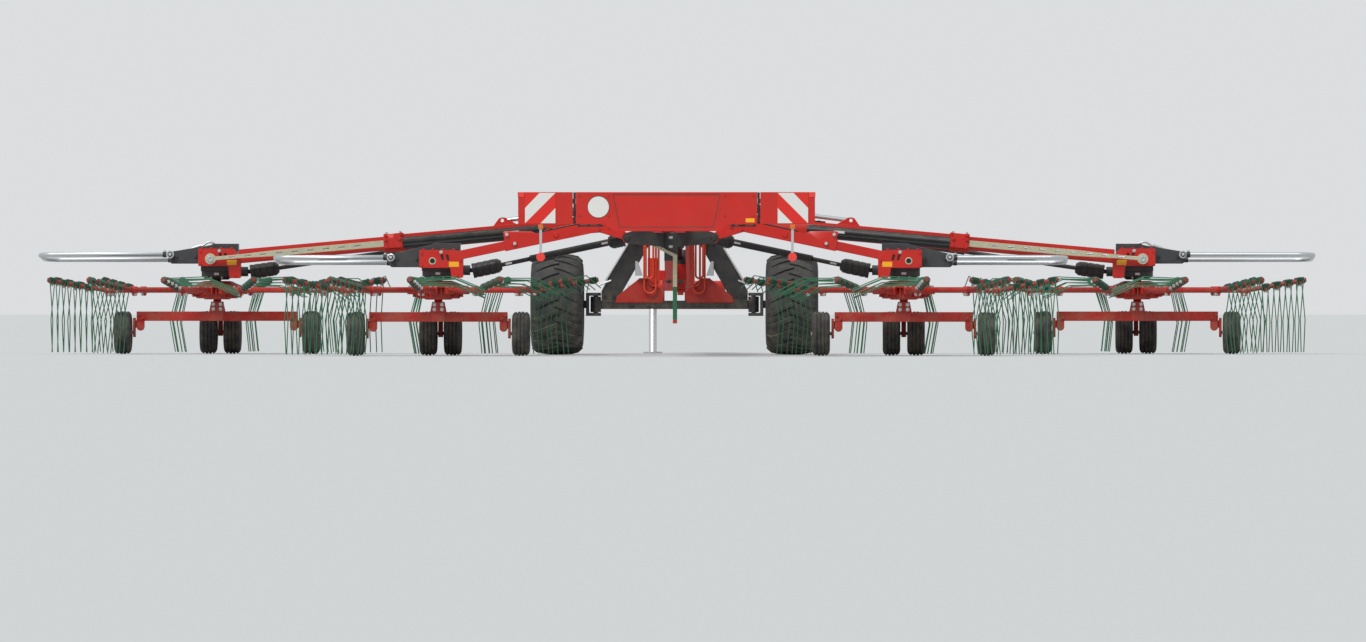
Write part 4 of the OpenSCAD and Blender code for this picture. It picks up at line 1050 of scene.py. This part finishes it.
@dataclass
class TransportWheels:
    """The two wide wheels of the chassis."""

    x: float = mm(1107)
    y: float = mm(300)
    radius: float = mm(475)
    half: float = mm(247.5)
    lugs: int = 22
    lug_height: float = mm(20)
    lug_half: float = mm(19)
    lug_root: float = mm(34)
    nuts: int = 8
    nuts_r: float = mm(128)

    def build(self) -> None:
        """Makes the tyres and rims and dresses them."""
        spot = at(self.x, self.y, self.radius) @ LENGTHWISE
        for make, name, coat in ((self.tyre, "tyre", Coat.RUBBER), (self.rim, "rim", Coat.ZINC)):
            dress_both(make(), f"transport_wheel_{name}", "transport_wheel", coat, spot,
                       [f"transport_{name}"])

    def tyre(self) -> Thing:
        """Turns the carcass and sets V-shaped lugs round it.

        Returns:
            The tyre round Z.
        """
        r, h = self.radius - self.lug_height, self.half
        upper = [(0.226, h - 0.040), (0.236, h - 0.022), (0.262, h - 0.008), (0.320, h), (0.378, h - 0.004),
                 (0.415, h - 0.020), (r - 0.012, h - 0.052), (r - 0.004, h - 0.085), (r, 0.06)]
        flip = Matrix.Scale(-1, 4, UP)
        turns = turns_round(self.lugs) + [turn @ flip for turn in turns_round(self.lugs, 0.5)]
        return BENCH.join([BENCH.lathe(mirrored(upper), steps=64), BENCH.stamp(self.lug(), turns)])

    def lug(self) -> Thing:
        """Sweeps one lug from the tyre's middle, slanting back, over the shoulder.

        Returns:
            The lug on a wheel round Z.
        """
        r = self.radius
        # Height across the tyre, turn round it in degrees, and radius of the lug's crest.
        path = [(-0.012, 0.0, r - 0.001), (0.060, 3.2, r - 0.001), (0.130, 7.4, r - 0.005),
                (0.190, 11.5, r - 0.019), (0.232, 14.0, r - 0.055)]
        points = [Vector((crest * math.cos(math.radians(turn)), crest * math.sin(math.radians(turn)), height))
                  for height, turn, crest in path]
        strips = []
        for start, end in zip(points, points[1:]):
            run, middle = end - start, (start + end) / 2
            side = run.cross(Vector((middle.x, middle.y, 0))).normalized()
            turn = Matrix((run.normalized(), side, side.cross(run).normalized())).transposed().to_4x4()
            half = run.length / 2 + mm(6)
            strip = BENCH.block((-half, -self.lug_half, -self.lug_root), (half, self.lug_half, 0.0), mm(4))
            strips.append(BENCH.place(strip, at(*middle) @ turn))
        return BENCH.join(strips)

    def rim(self) -> Thing:
        """Turns the wide rim with its dished disc, hub and nuts.

        Returns:
            The rim round Z.
        """
        h = self.half - 0.035
        profile = [(0.037, -0.060), (0.085, -0.060), (0.110, -0.020), (0.200, 0.020), (0.214, -0.030),
                   (0.214, -h + 0.030), (0.228, -h + 0.008), (0.240, -h), (0.246, -h + 0.006),
                   (0.232, -h + 0.024), (0.224, -h + 0.034), (0.222, 0.0), (0.224, h - 0.034),
                   (0.232, h - 0.024), (0.246, h - 0.006), (0.240, h), (0.228, h - 0.008), (0.214, h - 0.030),
                   (0.212, 0.060), (0.200, 0.032), (0.110, -0.006), (0.090, 0.010), (0.078, 0.070),
                   (0.060, 0.082), (0.037, 0.082)]
        nuts = [(x, y, 0.004) for x, y in circle(0, 0, self.nuts_r, self.nuts)]
        return BENCH.join([BENCH.lathe(profile, steps=48), BENCH.bolts((nuts, UP, 0.03))])


@dataclass
class Bodywork:
    """The frame's own parts: copies of the CAD nodes with broken edges, painted region by region."""

    nodes: dict[str, Thing]
    edge: float = mm(3)
    panel_back: float = mm(-4195)
    hinge_x: float = mm(839)
    lamp_x: float = mm(1145)
    # Heights at which the strap over the swath changes its colour.
    tip_top: float = mm(335)
    green_top: float = mm(640)

    def build(self) -> None:
        """Finishes each node of the middle and each pair of nodes at the sides."""
        self.chassis()
        self.panel()
        self.arms()
        self.gear()

    def single(self, node: str, coat: Coat, regions: Sequence[Region] = (), body: str = "chassis",
               edge: float | None = None) -> None:
        """Finishes one node of the middle.

        Args:
            node: the node's name.
            coat: its main finish.
            regions: boxes with other finishes.
            body: the body that carries it.
            edge: width of the bevel on its edges, or none for the usual one.
        """
        made = BENCH.soften(self.nodes[node], self.edge if edge is None else edge)
        dress_one(made, f"{node}_finished", body, coat, [node], regions)

    def pair(self, node: str, coat: Coat, regions: Sequence[Region] = (), body: str = "",
             edge: float | None = None) -> None:
        """Finishes a right-hand node and mirrors it for the left-hand one.

        Args:
            node: the nodes' name without the side.
            coat: their main finish.
            regions: boxes with other finishes on the right-hand side.
            body: the bodies' name without the side, or none for that of the node.
            edge: width of the bevel on the edges, or none for the usual one.
        """
        made = BENCH.soften(self.nodes[f"{node}_right"], self.edge if edge is None else edge)
        dress_both(made, f"{node}_finished", body or node, coat, replaces=[node], regions=regions)

    def chassis(self) -> None:
        """Finishes the frame, the axle, the drive line, the hitch, the jack, the chocks and the hoses."""
        # Black chassis enamel on the frame round the column, from 0.80 to 1.145 m up, where it shows below
        # the light panel's lower edge: painted shade under the panel.
        self.single("main_frame", Coat.RED, [Region(Coat.BLACK, (-0.62, -2.35, 0.80), (0.62, -1.60, 1.145))])
        links = [Region(Coat.BRIGHT_ZINC, (side * 0.0025 - 0.0105, -0.0095, 0.001),
                        (side * 0.0025 + 0.0105, 0.0095, 0.425),
                        at(side * 0.650, 0.238, 0.700) @ turned(side * -31.4, "Y")) for side in SIDES]
        self.single("axle_frame", Coat.BLACK, [
            Region(Coat.SHADED_WORN_RED, (-0.57, 0.2165, 0.485), (0.57, 0.2238, 0.75)), *links,
            Region(Coat.SHADED_WORN_RED, (-0.70, -FAR, 0.425), (0.70, FAR, 0.4345))])
        self.single("driveline", Coat.CASTING, [
            Region(Coat.CHROME, (-0.02, 3.612, 0.9), (0.02, 3.71, 0.98)),
            Region(Coat.PLASTIC, (-0.034, -1.645, 1.04), (0.034, 1.545, 1.37)),
            Region(Coat.PLASTIC, (-0.034, 1.755, 0.9), (0.034, 3.445, 1.37))])
        pins = [Region(Coat.BRIGHT_ZINC, (side * 0.5155 - 0.0845, 4.1, 0.6),
                       (side * 0.5155 + 0.0845, 4.2, 0.7)) for side in SIDES]
        self.single("headstock", Coat.RED, pins, "headstock")
        self.single("jack_leg", Coat.ZINC, body="jack")
        self.single("wheel_chocks", Coat.ZINC)
        self.single("hydraulic_hoses", Coat.ORANGE, edge=0.0)
        self.single("panel_cable", Coat.PIPE, edge=0.0)

    def panel(self) -> None:
        """Finishes the light panel, the strap over the swath and the panel's wings."""
        back, hinge, lamp = self.panel_back, self.hinge_x, self.lamp_x
        hinges = [Region(Coat.PIPE, (side * hinge - 0.0133, back + 0.002, 1.23),
                         (side * hinge + 0.0133, back + 0.029, 1.45)) for side in SIDES]
        self.single("light_panel", Coat.RED, hinges, edge=mm(1))
        self.flap()
        self.pair("panel_wing", Coat.RED, [
            Region(Coat.PIPE, (hinge - 0.013, back + 0.002, 1.23), (hinge + 0.0135, back + 0.029, 1.45)),
            Region(Coat.AMBER, (lamp - 0.024, back - 0.01, 1.162), (lamp + 0.024, back + 0.04, 1.2095)),
            Region(Coat.RED_LENS, (1.294, back - 0.01, 1.453), (1.36, back + 0.04, 1.51)),
            Region(Coat.ZINC, (lamp - 0.013, back + 0.0115, 0.949), (lamp + 0.013, back + 0.018, 1.165)),
            Region(Coat.RED_LENS, (lamp - 0.041, back, 0.868), (lamp + 0.041, back + 0.0140, 0.951))],
                  edge=mm(1))

    def flap(self) -> None:
        """Paints the strap over the swath: bare at the top, green below and red at the tip."""
        made = BENCH.soften(self.nodes["swath_flap"], mm(2))
        for height in (self.tip_top, self.green_top):
            BENCH.cut(made, (0, 0, height), UP)
        dress_one(made, "swath_flap_finished", "chassis", Coat.GUIDE, ["swath_flap"], [
            Region(Coat.TINE, (-1, -FAR, self.tip_top), (1, FAR, self.green_top)),
            Region(Coat.SHADED_WORN_RED, (-1, -FAR, 0.0), (1, FAR, self.tip_top))])

    def arms(self) -> None:
        """Finishes the arms and what telescopes in them."""
        self.pair("front_arm", Coat.RED, [
            Region(Coat.BLACK, (0.92, -0.165, -0.048), (2.299, -0.0655, 0.048), FRONT_BEAM),
            Region(Coat.BRIGHT_ZINC, (-0.1, -0.2, -0.03), (0.1, -0.062, 0.03), FRONT_ARM)])
        for place in (FRONT, REAR):
            x, y = place.hub
            far, top = place.track + 0.06, place.head_top
            regions = [
                # The wheel beam below the hub takes the darker worn red, which is partly painted shade under
                # the rotor.
                Region(Coat.SHADED_WORN_RED, (-FAR, -FAR, 0.0), (FAR, FAR, 0.52)),
                Region(Coat.BRIGHT_ZINC, (x - far, y - 0.017, 0.188), (x + far, y + 0.017, 0.222)),
                Region(Coat.BRIGHT_ZINC, (x - 0.3, y + 0.60, 0.188), (x + 0.3, y + 0.64, 0.222)),
                # Near-black paint on the walls and floors of the head plate's blind hole and slots: painted
                # shade in the recesses.
                Region(Coat.PIPE, (x - 0.16, y - 0.2925, top - 0.13), (x + 0.15, y - 0.2790, top - 0.03))]
            if place is FRONT:
                regions += [
                    Region(Coat.GUIDE, (2.3, -0.180, -0.055), (4.3, -0.1655, 0.055), FRONT_BEAM),
                    Region(Coat.CHROME, (2.0, -0.137, -0.022), (4.107, -0.093, 0.022), FRONT_BEAM),
                    Region(Coat.BRIGHT_ZINC, (4.100, -0.19, -0.031), (4.17, -0.061, 0.031), FRONT_BEAM)]
            self.pair(f"{place.end}_carrier", Coat.RED, regions, edge=mm(2.5))
        self.pair("rear_arm", Coat.RED)
        self.pair("lift_barrel", Coat.BLACK, edge=mm(2))
        self.pair("lift_rod", Coat.CHROME, edge=mm(1))

    def gear(self) -> None:
        """Finishes the gearboxes, the guard hoops, the drive shafts and the steering knuckles."""
        self.pair("front_gearbox", Coat.CASTING, body="front_carrier")
        self.pair("rear_gearbox", Coat.CASTING,
                  [Region(Coat.PLASTIC, (0.4, -0.06, -0.06), (1.44, 0.06, 0.06), REAR_SHAFT)], "rear_carrier")
        for hoop in ("front_hoop", "rear_hoop"):
            self.pair(hoop, Coat.ZINC, edge=0.0)
        for node, body in (("front_shaft_guard", ""), ("front_shaft", ""), ("rear_shaft_guard", "rear_arm")):
            self.pair(node, Coat.PLASTIC, body=body, edge=mm(2))
        self.pair("knuckle", Coat.CASTING)


@dataclass
class LightPanel:
    """Striped plates, disc, hinge rods, shade line and blank labels of the panel across the back."""

    back: float = mm(-4195)
    half: float = mm(1350)
    top: float = mm(1500)
    sheet: float = mm(282)
    disc_x: float = mm(-620)
    disc_z: float = mm(1365)
    disc_r: float = mm(100)
    hinge_x: float = mm(837)
    hinge_r: float = mm(11)

    def build(self) -> None:
        """Makes the panel's pieces and dresses them."""
        self.striped_plates()
        self.field()
        self.seams()

    def on_panel(self, outline: Sequence[Flat], thickness: float, proud: float = 0.0,
                 holes: Iterable[Sequence[Flat]] = ()) -> Thing:
        """Lays a plate with an outline in X and Z on the panel's rear face, or some way proud of it."""
        return BENCH.plate(outline, thickness, self.back - proud, holes, edge=mm(0.4))

    def striped_plates(self) -> None:
        """Makes the warning plates: red sheet, one white diagonal band and one white corner."""
        s = self.sheet
        x0, z0 = self.half - mm(60) - s, self.top - mm(4) - s
        board = rounded(rectangle((x0, z0), (x0 + s, z0 + s)), mm(8))
        dress_both(self.on_panel(board, mm(1.2), mm(4)), "striped_board_red", "panel_wing", Coat.RED_SHEET)
        # On the right-hand plate the band falls outwards: shares of the side from the inner lower corner.
        bands = [[(0.01, 0.01), (0.49, 0.01), (0.01, 0.50)],
                 [(0.01, 0.99), (0.99, 0.01), (0.99, 0.50), (0.52, 0.99)]]
        made = BENCH.join([self.on_panel([(x0 + u * s, z0 + v * s) for u, v in band], mm(0.8), mm(5.2))
                           for band in bands])
        dress_both(made, "striped_board_white", "panel_wing", Coat.WHITE_SHEET)

    def field(self) -> None:
        """Makes the blank disc, the blank label and the screws."""
        disc, edge, bore = [circle(self.disc_x, self.disc_z, self.disc_r + more, 48)
                            for more in (0.0, mm(1), mm(-4))]
        label = rounded(rectangle((0.72, 1.225), (0.80, 1.262)), mm(3))
        screws = [(x, self.back, z) for x in (-0.79, -0.53, 0.53, 0.79) for z in (1.29, 1.47)]
        dress_one(self.on_panel(disc, mm(1.8)), "blank_disc", "chassis", Coat.WHITE_SHEET)
        dress_one(self.on_panel(edge, mm(2.2), holes=[bore]), "blank_disc_edge", "chassis", Coat.PIPE)
        dress_one(self.on_panel(label, mm(1)), "panel_blank_label", "chassis", Coat.YELLOW_FILM)
        dress_one(BENCH.bolts((screws, BACKWARD, 0.016)), "panel_screws", "chassis", Coat.RED)

    def seams(self) -> None:
        """Fills the wings' hinge lines, and lays a thin darker red ring at the sunk field's edge as a painted
        shade line.
        """
        x, y = self.hinge_x, self.back + mm(15)
        rods = [BENCH.rod((x, y, low), (x, y, high), self.hinge_r, 16)
                for low, high in ((1.212, 1.2395), (1.3308, 1.3495), (1.4408, 1.498))]
        dress_both(BENCH.join(rods), "wing_hinge_rods", "chassis", Coat.PIPE)
        # A thin ring of the darker browned red, just proud of the sunk field's floor along its edge: painted
        # shade at the foot of the edge.
        outside = [(-0.430, 1.175), (0.430, 1.175), (0.490, 1.482), (-0.490, 1.482)]
        inside = [(-0.420, 1.187), (0.420, 1.187), (0.477, 1.470), (-0.477, 1.470)]
        shade = self.on_panel(outside, mm(1.2), mm(-4), [inside])
        dress_one(shade, "panel_field_shade", "chassis", Coat.REEL_RED)


@dataclass
class ArmTrim:
    """What is bolted or stuck to the arms: side covers, blank labels, bolts and oil pipes."""

    pipe_r: float = mm(7)
    clip_half: float = mm(14)
    cover_low: Flat = (mm(980), mm(-70))
    cover_high: Flat = (mm(2285), mm(46))

    def build(self) -> None:
        """Makes the trim of the front and rear arms."""
        self.front()
        self.rear()

    def front(self) -> None:
        """Makes the front arm's dark side cover, its label, bolts and pipes."""
        outline = rounded(rectangle(self.cover_low, self.cover_high), mm(12))
        cover = BENCH.plate(outline, mm(3), mm(-65), edge=mm(0.8))
        dress_both(cover, "front_arm_side_cover", "front_arm", Coat.CASTING, FRONT_BEAM)
        label = film(1.190, -0.1515, 0.100, 0.022)
        dress_both(label, "front_cylinder_blank_label", "front_arm", Coat.WHITE_FILM, FRONT_BEAM)
        painted = (([(u, -0.190, v) for u in (2.325, 2.455) for v in (-0.034, 0.034)], BACKWARD, 0.026),
                   ([(u, -0.075, 0.076) for u in (2.31, 2.46)], BACKWARD, 0.024))
        bare = ([(u, y, 0.088) for u in (2.32, 2.45) for y in (-0.05, 0.05)], UP, 0.026)
        for thing, name, coat in ((BENCH.bolts(*painted), "front_arm_bolts", Coat.RED),
                                  (BENCH.bolts(bare), "front_arm_top_bolts", Coat.BRIGHT_ZINC)):
            dress_both(thing, name, "front_arm", coat, FRONT_BEAM)
        self.pipes("front_arm", FRONT_BEAM, [(0.30, 0.086), (0.42, 0.0835), (1.10, 0.0835)], (0.040, 0.056),
                   [((u, 0.028, 0.0755), (u, 0.063, 0.094)) for u in (0.36, 0.70, 1.04)])

    def rear(self) -> None:
        """Makes the rear arm's bolts and pipes."""
        painted = [(u, -0.0555, v) for u in (0.14, 0.24) for v in (-0.03, 0.03)]
        pins = [(1.030, -0.0655, 0.0), (1.085, -0.0675, 0.097)]
        for places, name, coat in ((painted, "rear_arm_bolts", Coat.RED),
                                   (pins, "rear_arm_pin_bolts", Coat.BRIGHT_ZINC)):
            dress_both(BENCH.bolts((places, BACKWARD, 0.022)), name, "rear_arm", coat, REAR_BEAM)
        self.pipes("rear_arm", REAR_BEAM, [(0.20, 0.060), (0.75, 0.060)], (0.010, 0.030),
                   [((u, -0.002, 0.0515), (u, 0.040, 0.070)) for u in (0.28, 0.68)])

    def pipes(self, arm: str, frame: Matrix, route: Sequence[Flat], lanes: Flat,
              clips: Sequence[tuple[Point, Point]]) -> None:
        """Lays two oil pipes along an arm and clips them down.

        Args:
            arm: the arm's body without its side.
            frame: the arm's frame.
            route: the pipes' points in X and Z.
            lanes: the Y of each pipe.
            clips: each clip's low and high corner, both at the middle of its length.
        """
        runs = [BENCH.tube([(u, lane, z) for u, z in route], self.pipe_r) for lane in lanes]
        held = [BENCH.place(BENCH.block((-self.clip_half, *low[1:]), (self.clip_half, *high[1:])), at(low[0]))
                for low, high in clips]
        dress_both(BENCH.join(runs + held), f"{arm}_pipes", arm, Coat.PIPE, frame)


@dataclass
class HeadTrim:
    """Bolts, blank labels, lever and caps at an arm's outer end."""

    place: RotorPlace
    arm_back: float = mm(235)
    half: float = mm(60)
    box_half: float = mm(110)
    ring_z: float = mm(734.5)
    ring_r: float = mm(128)
    hoop_x: float = mm(425)
    hoop_y: float = mm(450)
    hoop_tilt: float = -3.0

    @property
    def rear(self) -> float:
        """Y of the head's rear face, counted from the rotor's axis."""
        return -self.arm_back - self.half

    def build(self) -> None:
        """Makes the head's small pieces."""
        self.bolts()
        self.labels()
        self.caps()
        if self.place is FRONT:
            self.lever()
        else:
            self.eye()

    def bolts(self) -> None:
        """Sets the painted bolts of the head, the dark ones of the carrier box and the bare ones."""
        rear, top, box_z = self.rear, self.place.head_top, self.place.box_top - mm(55)
        painted = (([(x, rear + 0.012, top) for x in (-0.15, -0.05, 0.04, 0.13)], UP, 0.022),
                   ([(-0.215, rear, top - 0.095), (0.145, rear, top - 0.140), (0.145, rear, top - 0.025),
                     (-0.187, rear, 0.745)], BACKWARD, 0.020))
        dark = (([(x, -self.box_half, box_z) for x in (-0.16, 0.20, 0.38)], BACKWARD, 0.024),
                ([(x, self.box_half, box_z) for x in (-0.16, 0.0, 0.20, 0.38)], FORWARD, 0.024))
        bare = (([(-0.035, rear, top - 0.019)], BACKWARD, 0.022),
                ([(x, y, self.ring_z) for x, y in circle(0, 0, self.ring_r, 8, 22.5)], DOWN, 0.02))
        for groups, name, coat in ((painted, "head_painted_bolts", Coat.RED),
                                   (dark, "box_bolts", Coat.CASTING), (bare, "head_bolts", Coat.BRIGHT_ZINC)):
            self.place.dress(BENCH.bolts(*groups), name, "carrier", coat)

    def labels(self) -> None:
        """Sticks the blank labels on the head and on the gearbox."""
        top = self.place.head_top
        outline = rounded(rectangle((-0.200, top - 0.155), (-0.108, top - 0.108)), mm(3))
        label = BENCH.plate(outline, mm(1), self.rear)
        self.place.dress(label, "head_blank_label", "carrier", Coat.YELLOW_FILM)
        mark = BENCH.plate(rectangle((-0.022, 0.752), (0.022, 0.774)), mm(1), mm(-150.5))
        self.place.dress(mark, "gear_blank_label", "carrier", Coat.WHITE_FILM)

    def caps(self) -> None:
        """Puts dark caps and bright bolts where the hoop's tubes leave their hinges."""
        spot = at(self.hoop_x, 0, self.place.hoop_z) @ turned(self.hoop_tilt, "X")
        caps, groups = [], []
        for side in SIDES:
            y = side * self.hoop_y
            caps.append(BENCH.rod((0.034, y, 0), (0.070, y, 0), 0.027, 20, mm(2)))
            groups += [([(0.052, y, 0.027)], UP, 0.022), ([(0.0, y + side * 0.032, 0.0)], (0, side, 0), 0.03)]
        for thing, name, coat in ((BENCH.join(caps), "hoop_caps", Coat.PLASTIC),
                                  (BENCH.bolts(*groups), "hoop_bolts", Coat.BRIGHT_ZINC)):
            self.place.dress(BENCH.place(thing, spot), name, "hoop", coat)

    def lever(self) -> None:
        """Bends the locking lever that lies on the wedge."""
        z, y = self.place.rise_top, mm(-50)
        made = BENCH.tube([(0.02, y, z + 0.006), (0.08, y, z + 0.014), (0.14, y, z - 0.02),
                           (0.26, y, z - 0.052), (0.30, y, z - 0.060)], mm(10), 10, bent=True)
        grip = BENCH.rod((0.15, y, z - 0.016), (0.24, y, z - 0.044), mm(14), 12, mm(2))
        self.place.dress(BENCH.join([made, grip]), "lock_lever", "carrier", Coat.BRIGHT_ZINC)

    def eye(self) -> None:
        """Rings the hole in the rear arm's head plate."""
        ring = BENCH.lathe([(0.0235, 0.0), (0.034, 0.0), (0.034, 0.003), (0.032, 0.005), (0.0235, 0.005)], 32)
        spot = at(mm(45), self.rear, self.place.head_top - mm(101)) @ STANDING
        self.place.dress(BENCH.place(ring, spot), "head_ring", "carrier", Coat.GUIDE)


@dataclass
class ShaftTrim:
    """Ribbed cones and blank labels on the drive shafts."""

    bell: float = mm(64)
    throat: float = mm(34)
    rib: float = mm(4)
    ribs: int = 4

    def build(self) -> None:
        """Makes the cones of each shaft's two ends, and the labels."""
        self.cone("front_shaft_guard", FRONT_SHAFT, 0.034, 0.150, False)
        self.cone("front_shaft", FRONT_SHAFT, 3.550, 3.792, True)
        self.cone("rear_arm", REAR_SHAFT, 0.034, 0.150, False)
        self.cone("rear_carrier", REAR_SHAFT, 1.231, 1.473, True)
        for name, frame, body, start, radius in (
                ("front_guard", FRONT_SHAFT, "front_shaft_guard", 0.60, 0.0315),
                ("rear_guard", REAR_SHAFT, "rear_arm", 0.19, 0.0315),
                ("rear_shaft", REAR_SHAFT, "rear_carrier", 1.10, 0.0195)):
            label = film(start, -radius, mm(60), mm(17))
            dress_both(label, f"{name}_blank_label", body, Coat.WHITE_FILM, frame)

    def cone(self, body: str, frame: Matrix, start: float, end: float, outer: bool) -> None:
        """Turns one ribbed cone round a shaft's bell.

        Args:
            body: body that the cone rides on, without its side.
            frame: the shaft's frame.
            start: where the bell starts along the shaft.
            end: where it ends.
            outer: whether the open end faces outwards.
        """
        length, wall = end - start, self.bell + mm(1)
        crest = wall + self.rib
        outline = [(self.bell - 0.010, 0.0), (crest, 0.0)]
        for k in range(self.ribs):
            z = length * (k + 0.5) / self.ribs
            outline += [(crest, z), (wall, z + self.rib), (wall, z + 3 * self.rib), (crest, z + 4 * self.rib)]
        outline += [(wall, length), (0.046, length + 0.030), (self.throat, length + 0.034),
                    (self.throat, length + 0.002)]
        spot = at(end) @ turned(-90.0, "Y") if outer else at(start) @ LENGTHWISE
        made = BENCH.place(BENCH.lathe(outline, 28), spot)
        dress_both(made, f"{body}_{'outer' if outer else 'inner'}_cone", body, Coat.PLASTIC, frame)


@dataclass
class Undercarriage:
    """Mast plates and hub hardware of a rotor's wheel beam."""

    place: RotorPlace
    # Lower and upper edge of the two plates that hold the mast.
    low: float = mm(401)
    high: float = mm(500)
    plate: float = mm(10)
    wheel_z: float = mm(205)

    def build(self) -> None:
        """Makes the beam's plates and bolts."""
        mast = [(-0.075, self.low), (0.075, self.low), (0.055, self.high), (-0.055, self.high)]
        plates = [BENCH.plate(mast, self.plate, y, edge=mm(1)) for y in (-0.062, 0.072)]
        half, stub = self.place.beam_half, self.place.track + mm(72.5)
        ends = [([(side * (half - 0.015), -0.045, 0.345), (side * (half + 0.025), -0.045, 0.375)],
                 BACKWARD, 0.022) for side in SIDES]
        bare = [([(x, facing[1] * 0.072, z) for x in (-0.035, 0.035) for z in (0.430, 0.475)], facing, 0.024)
                for facing in (BACKWARD, FORWARD)]
        bare += [([(side * stub, 0, self.wheel_z)], (side, 0, 0), 0.030) for side in SIDES]
        for thing, name, coat in ((BENCH.join([*plates, BENCH.bolts(*ends)]), "beam_plates", Coat.SHADED_WORN_RED),
                                  (BENCH.bolts(*bare), "beam_bolts", Coat.BRIGHT_ZINC)):
            self.place.dress(thing, name, "carrier", coat)


@dataclass
class MiddleTrim:
    """Bolts, blank labels and oil pipes of the chassis."""

    column_back: float = mm(-1930)
    rail_x: float = mm(142)
    pipe_z: float = mm(1297.5)
    pipe_r: float = mm(7)

    def build(self) -> None:
        """Makes the chassis' small pieces."""
        marks = [BENCH.plate(rectangle((-0.018, z), (0.018, z + 0.024)), mm(1), self.column_back)
                 for z in (1.000, 1.085)]
        dress_one(BENCH.join(marks), "column_blank_labels", "chassis", Coat.WHITE_FILM)
        legs = [(side * x, 0.240, z) for side in SIDES
                for x, z in ((0.27, 1.05), (0.36, 1.05), (0.58, 0.56), (0.66, 0.56))]
        dark = BENCH.bolts(([(x, 0.225, 0.47) for x in (-0.40, -0.25, 0.25, 0.40)], BACKWARD, 0.026),
                           (legs, BACKWARD, 0.028))
        dress_one(dark, "axle_bolts", "chassis", Coat.BLACK)
        rails = BENCH.bolts(*(([(side * self.rail_x, y, z) for y in (-3.9, -3.8, -0.6, -0.5, 0.85, 0.95)
                                for z in (1.18, 1.25)], (side, 0, 0), 0.028) for side in SIDES))
        rods = [BENCH.rod((side * 0.600, 0.232, 0.700), (side * 0.715, 0.232, 0.655), mm(9), 12)
                for side in SIDES]
        dress_one(BENCH.join([rails, *rods]), "chassis_bolts", "chassis", Coat.BRIGHT_ZINC)
        pipes = [BENCH.tube([(x, -1.95, self.pipe_z), (x, 1.50, self.pipe_z)], self.pipe_r)
                 for x in (-0.128, -0.110, 0.110, 0.128)]
        dress_one(BENCH.join(pipes), "rail_pipes", "chassis", Coat.PIPE)


@dataclass
class Studio:
    """Floor, lamp, world and the camera at the photograph's place."""

    image_width: int = 1366
    # The camera's focal length and the photograph's horizon and middle line, in pixels.
    scale_px: float = 12980.0
    horizon_px: float = 290.0
    middle_px: float = 321.0
    camera_at: Point = (2.02, -122.2, 0.61)
    yaw: float = 0.908
    sensor_mm: float = 36.0
    floor_size: float = 400.0

    def build(self) -> None:
        """Sets up everything round the rake."""
        self.floor()
        self.world()
        self.lamp()
        self.camera()

    def floor(self) -> None:
        """Lays a plain pale floor."""
        BENCH.clear()
        bpy.ops.mesh.primitive_plane_add(size=self.floor_size, location=(0, 0, mm(-1)))
        floor = bpy.context.object
        floor.name = "studio_floor"
        made = bpy.data.materials.new("studio_floor_paint")
        made.use_nodes = True
        tree = made.node_tree
        tree.nodes.clear()
        shader = add_node(tree, "ShaderNodeBsdfDiffuse", {"Color": linear("#cfd0ce")})
        add_node(tree, "ShaderNodeOutputMaterial", {"Surface": shader.outputs["BSDF"]})
        floor.data.materials.append(made)

    def world(self) -> None:
        """Lights the rake evenly, as a grey sky does, in front of a pale backdrop."""
        world = bpy.data.worlds.new("studio_sky")
        bpy.context.scene.world = world
        world.use_nodes = True
        tree = world.node_tree
        tree.nodes.clear()
        path = add_node(tree, "ShaderNodeLightPath")
        seen = add_node(tree, "ShaderNodeMath", operation="MAXIMUM",
                        inputs={0: path.outputs["Is Camera Ray"], 1: path.outputs["Is Glossy Ray"]})
        lit = add_node(tree, "ShaderNodeBackground", {"Color": linear("#dfe4ea"), "Strength": 0.62})
        shown = add_node(tree, "ShaderNodeBackground", {"Color": linear("#e6e8ea"), "Strength": 0.9})
        mix = add_node(tree, "ShaderNodeMixShader",
                       {0: seen.outputs[0], 1: lit.outputs[0], 2: shown.outputs[0]})
        add_node(tree, "ShaderNodeOutputWorld", {"Surface": mix.outputs[0]})

    def lamp(self) -> None:
        """Hangs one broad soft sun, from behind the camera's left shoulder."""
        BENCH.clear()
        bpy.ops.object.light_add(type="SUN", location=(-10, -20, 30),
                                 rotation=(math.radians(42.0), 0.0, math.radians(-28.0)))
        sun = bpy.context.object
        sun.name = "studio_key"
        sun.data.energy, sun.data.angle = 2.4, math.radians(25.0)

    def camera(self) -> None:
        """Puts the camera far behind the rake, a little to its right and low over the ground."""
        pitch = math.atan((self.middle_px - self.horizon_px) / self.scale_px)
        BENCH.clear()
        bpy.ops.object.camera_add(location=self.camera_at,
                                  rotation=(math.pi / 2 - pitch, 0.0, math.radians(self.yaw)))
        camera = bpy.context.object
        camera.data.sensor_width = self.sensor_mm
        camera.data.lens = self.scale_px / self.image_width * self.sensor_mm
        camera.data.clip_start, camera.data.clip_end = 1.0, 1000.0
        bpy.context.scene.camera = camera
        bpy.context.scene.view_settings.view_transform = "Standard"


def paint_node(node: Thing) -> None:
    """Gives a CAD node red enamel, which shows only where no finished piece replaces it."""
    node.data.materials.clear()
    node.data.materials.append(Coat.RED.value.material())


def corners(box: tuple[Vector, Vector]) -> list[list[float]]:
    """Turns a box into plain lists of numbers."""
    return [list(corner) for corner in box]


def main() -> None:
    """Builds the rake's looks in order."""
    logging.basicConfig(level=logging.INFO, format="%(message)s")
    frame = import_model()
    Studio().build()
    for node in frame["nodes"].values():
        paint_node(node)
    for place in (FRONT, REAR):
        Reel(place).build()
        SmallWheels(place).build()
    TransportWheels().build()
    Bodywork(frame["nodes"]).build()
    LightPanel().build()
    ArmTrim().build()
    for place in (FRONT, REAR):
        HeadTrim(place).build()
        Undercarriage(place).build()
    ShaftTrim().build()
    MiddleTrim().build()


if __name__ == "__main__":
    main()
